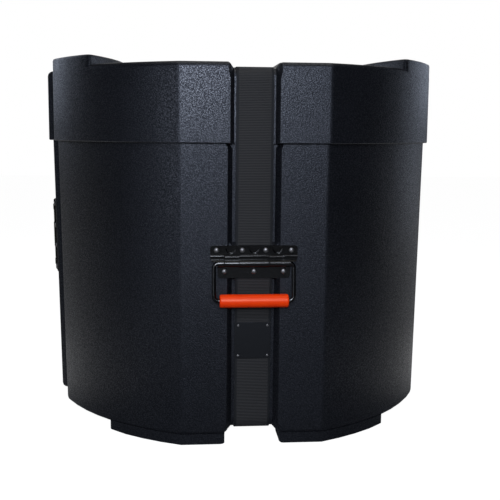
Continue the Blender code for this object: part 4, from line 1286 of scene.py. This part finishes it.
    def bail(self) -> Object:
        """Bend the rod: pivots, ears, legs and the run inside the grip."""
        ear, bend = self.bail_half - self.ear_bend, self.bail_bend
        right = [(ear - self.pivot, 0.0)]
        right += arc((ear, -self.ear_bend), self.ear_bend, 90, 0, steps=10)
        right += arc((self.bail_half - bend, bend - self.bail_drop), bend, 0, -90, steps=12)
        points = mirrored(right)
        curve = bpy.data.curves.new(self.prefix + "_steel_bail", "CURVE")
        curve.dimensions = "3D"
        curve.bevel_depth = self.rod
        curve.bevel_resolution = 6
        curve.use_fill_caps = True
        spline = curve.splines.new("POLY")
        spline.points.add(len(points) - 1)
        for spot, (x, z) in zip(spline.points, points):
            spot.co = (x, 0.0, z, 1.0)
        pick(added(self.prefix + "_steel_bail", curve))
        bpy.ops.object.convert(target="MESH")
        made = bpy.context.active_object
        smooth(made, degrees=50.0)
        return made

    def grip(self) -> Object:
        """Turn the grip with a bore for the rod and rounded ends."""
        half, bore, end, steps = self.grip_half, self.rod + GAP, self.grip_round, self.grip_steps
        rim = self.grip_radius - end
        profile = [(bore, -half), (rim, -half)]
        profile += [(r, h) for h, r in arc((-half + end, rim), end, 180, 90, steps)][1:]
        profile += [(r, h) for h, r in arc((half - end, rim), end, 90, 0, steps)]
        profile += [(bore, half), (bore, -half)]
        made = spun(self.prefix + "_moulded_grip", profile, steps=56)
        made.data.transform(Matrix.Rotation(math.pi / 2, 4, "Y"))
        smooth(made, degrees=40.0)
        return made

    def lean(self, seat: Matrix) -> Matrix:
        """Turn of the bail at rest, read from where the grip's node lies."""
        low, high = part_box(self.prefix + "_grip")
        middle = seat.inverted() @ ((low + high) / 2)
        return Matrix.Rotation(math.atan2(middle.y, -middle.z), 4, "X")

    def build(self) -> None:
        """Make the whole handle."""
        seat = self.seat()
        hang = seat @ self.lean(seat)
        drop = Matrix.Translation((0, 0, -self.bail_drop))
        plate = self.plate()
        settle(plate, seat)
        self.finishes.place(plate, Slot.BLACK_STEEL, Body.BASE, self.prefix + "_handle_plate")
        self.rivets(seat)
        for made, node, slot, place in (
            (self.bail(), "_bail", Slot.BLACK_STEEL, hang),
            (self.grip(), "_grip", Slot.GRIP, hang @ drop),
        ):
            settle(made, place)
            self.finishes.place(made, slot, self.body, self.prefix + node)


@dataclass
class Badge:
    """Bare plate with a raised border, held by four small rivets."""

    finishes: Finishes
    border: float = 2.2 * MM
    corner: float = 8.5 * MM
    sink: float = 0.3 * MM
    plate: Easing = Easing(0.3 * MM, 50.0)
    head: Easing = Easing(0.3 * MM, 25.0, 3, 60.0)
    rivets: int = 4

    def recess(self) -> Object:
        """Make the tool that sinks the plate's face inside its border, clear of the rivets."""
        low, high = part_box("badge_plate")
        middle, out = (low + high) / 2, facing("badge_plate", Vector((0, -1, 0)))
        spots = [v.co for v in bpy.data.objects["badge_plate"].data.vertices]
        face = max((spot - middle).dot(out) for spot in spots)
        wide = (high.x - low.x) / 2 - self.border
        tall = (high.z - low.z) / 2 - self.border
        right = [(wide - self.corner, -tall), (wide, -tall + self.corner)]
        right += [(wide, tall - self.corner), (wide - self.corner, tall)]
        made = prism("recess", mirrored(right), -face - self.corner, -face + self.sink)
        settle(made, seated(middle, Vector((1, 0, 0)), out))
        return made

    def build(self) -> None:
        """Make the plate and round its rivets."""
        made = solid_copy("badge_plate", "bare_plate")
        ease_edges(made, self.plate)
        cut(made, self.recess())
        smooth(made, self.plate.smooth_degrees)
        self.finishes.place(made, Slot.BADGE, Body.BASE, "badge_plate")
        for index in range(1, self.rivets + 1):
            node = f"badge_rivet_{index}"
            head = eased_copy(node, f"badge_head_{index}", self.head)
            self.finishes.place(head, Slot.RIVET_STEEL, Body.BASE, node)


@dataclass
class Buckle:
    """Side-release buckle in the lid's pocket."""

    finishes: Finishes
    easing: Easing = Easing(0.5 * MM)

    def build(self) -> None:
        """Ease and dress the socket, the plug and its two arms."""
        for node, body in (
            ("buckle_socket", Body.LID),
            ("buckle_plug", Body.LID),
            ("buckle_arm_left", Body.BUCKLE_LEFT),
            ("buckle_arm_right", Body.BUCKLE_RIGHT),
        ):
            made = eased_copy(node, "moulded_" + node, self.easing)
            self.finishes.place(made, Slot.BUCKLE, body, node)


def main() -> None:
    """Build the looks of the case, piece by piece."""
    logging.basicConfig(level=logging.INFO, format="%(message)s")
    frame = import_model()
    joints = {joint["child"]: joint for joint in frame["joints"]}
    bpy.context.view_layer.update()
    Studio().build()
    finishes = Finishes()
    Shells(finishes).build()
    Lining(finishes).build()
    Webbing(finishes).build()
    for prefix, body, outward in (
        ("front", Body.FRONT_HANDLE, Vector((0, -1, 0))),
        ("side", Body.SIDE_HANDLE, Vector((-1, 0, 0))),
    ):
        CarryHandle(finishes, prefix, body, outward, joints[body.value]).build()
    Badge(finishes).build()
    Buckle(finishes).build()


if __name__ == "__main__":
    main()
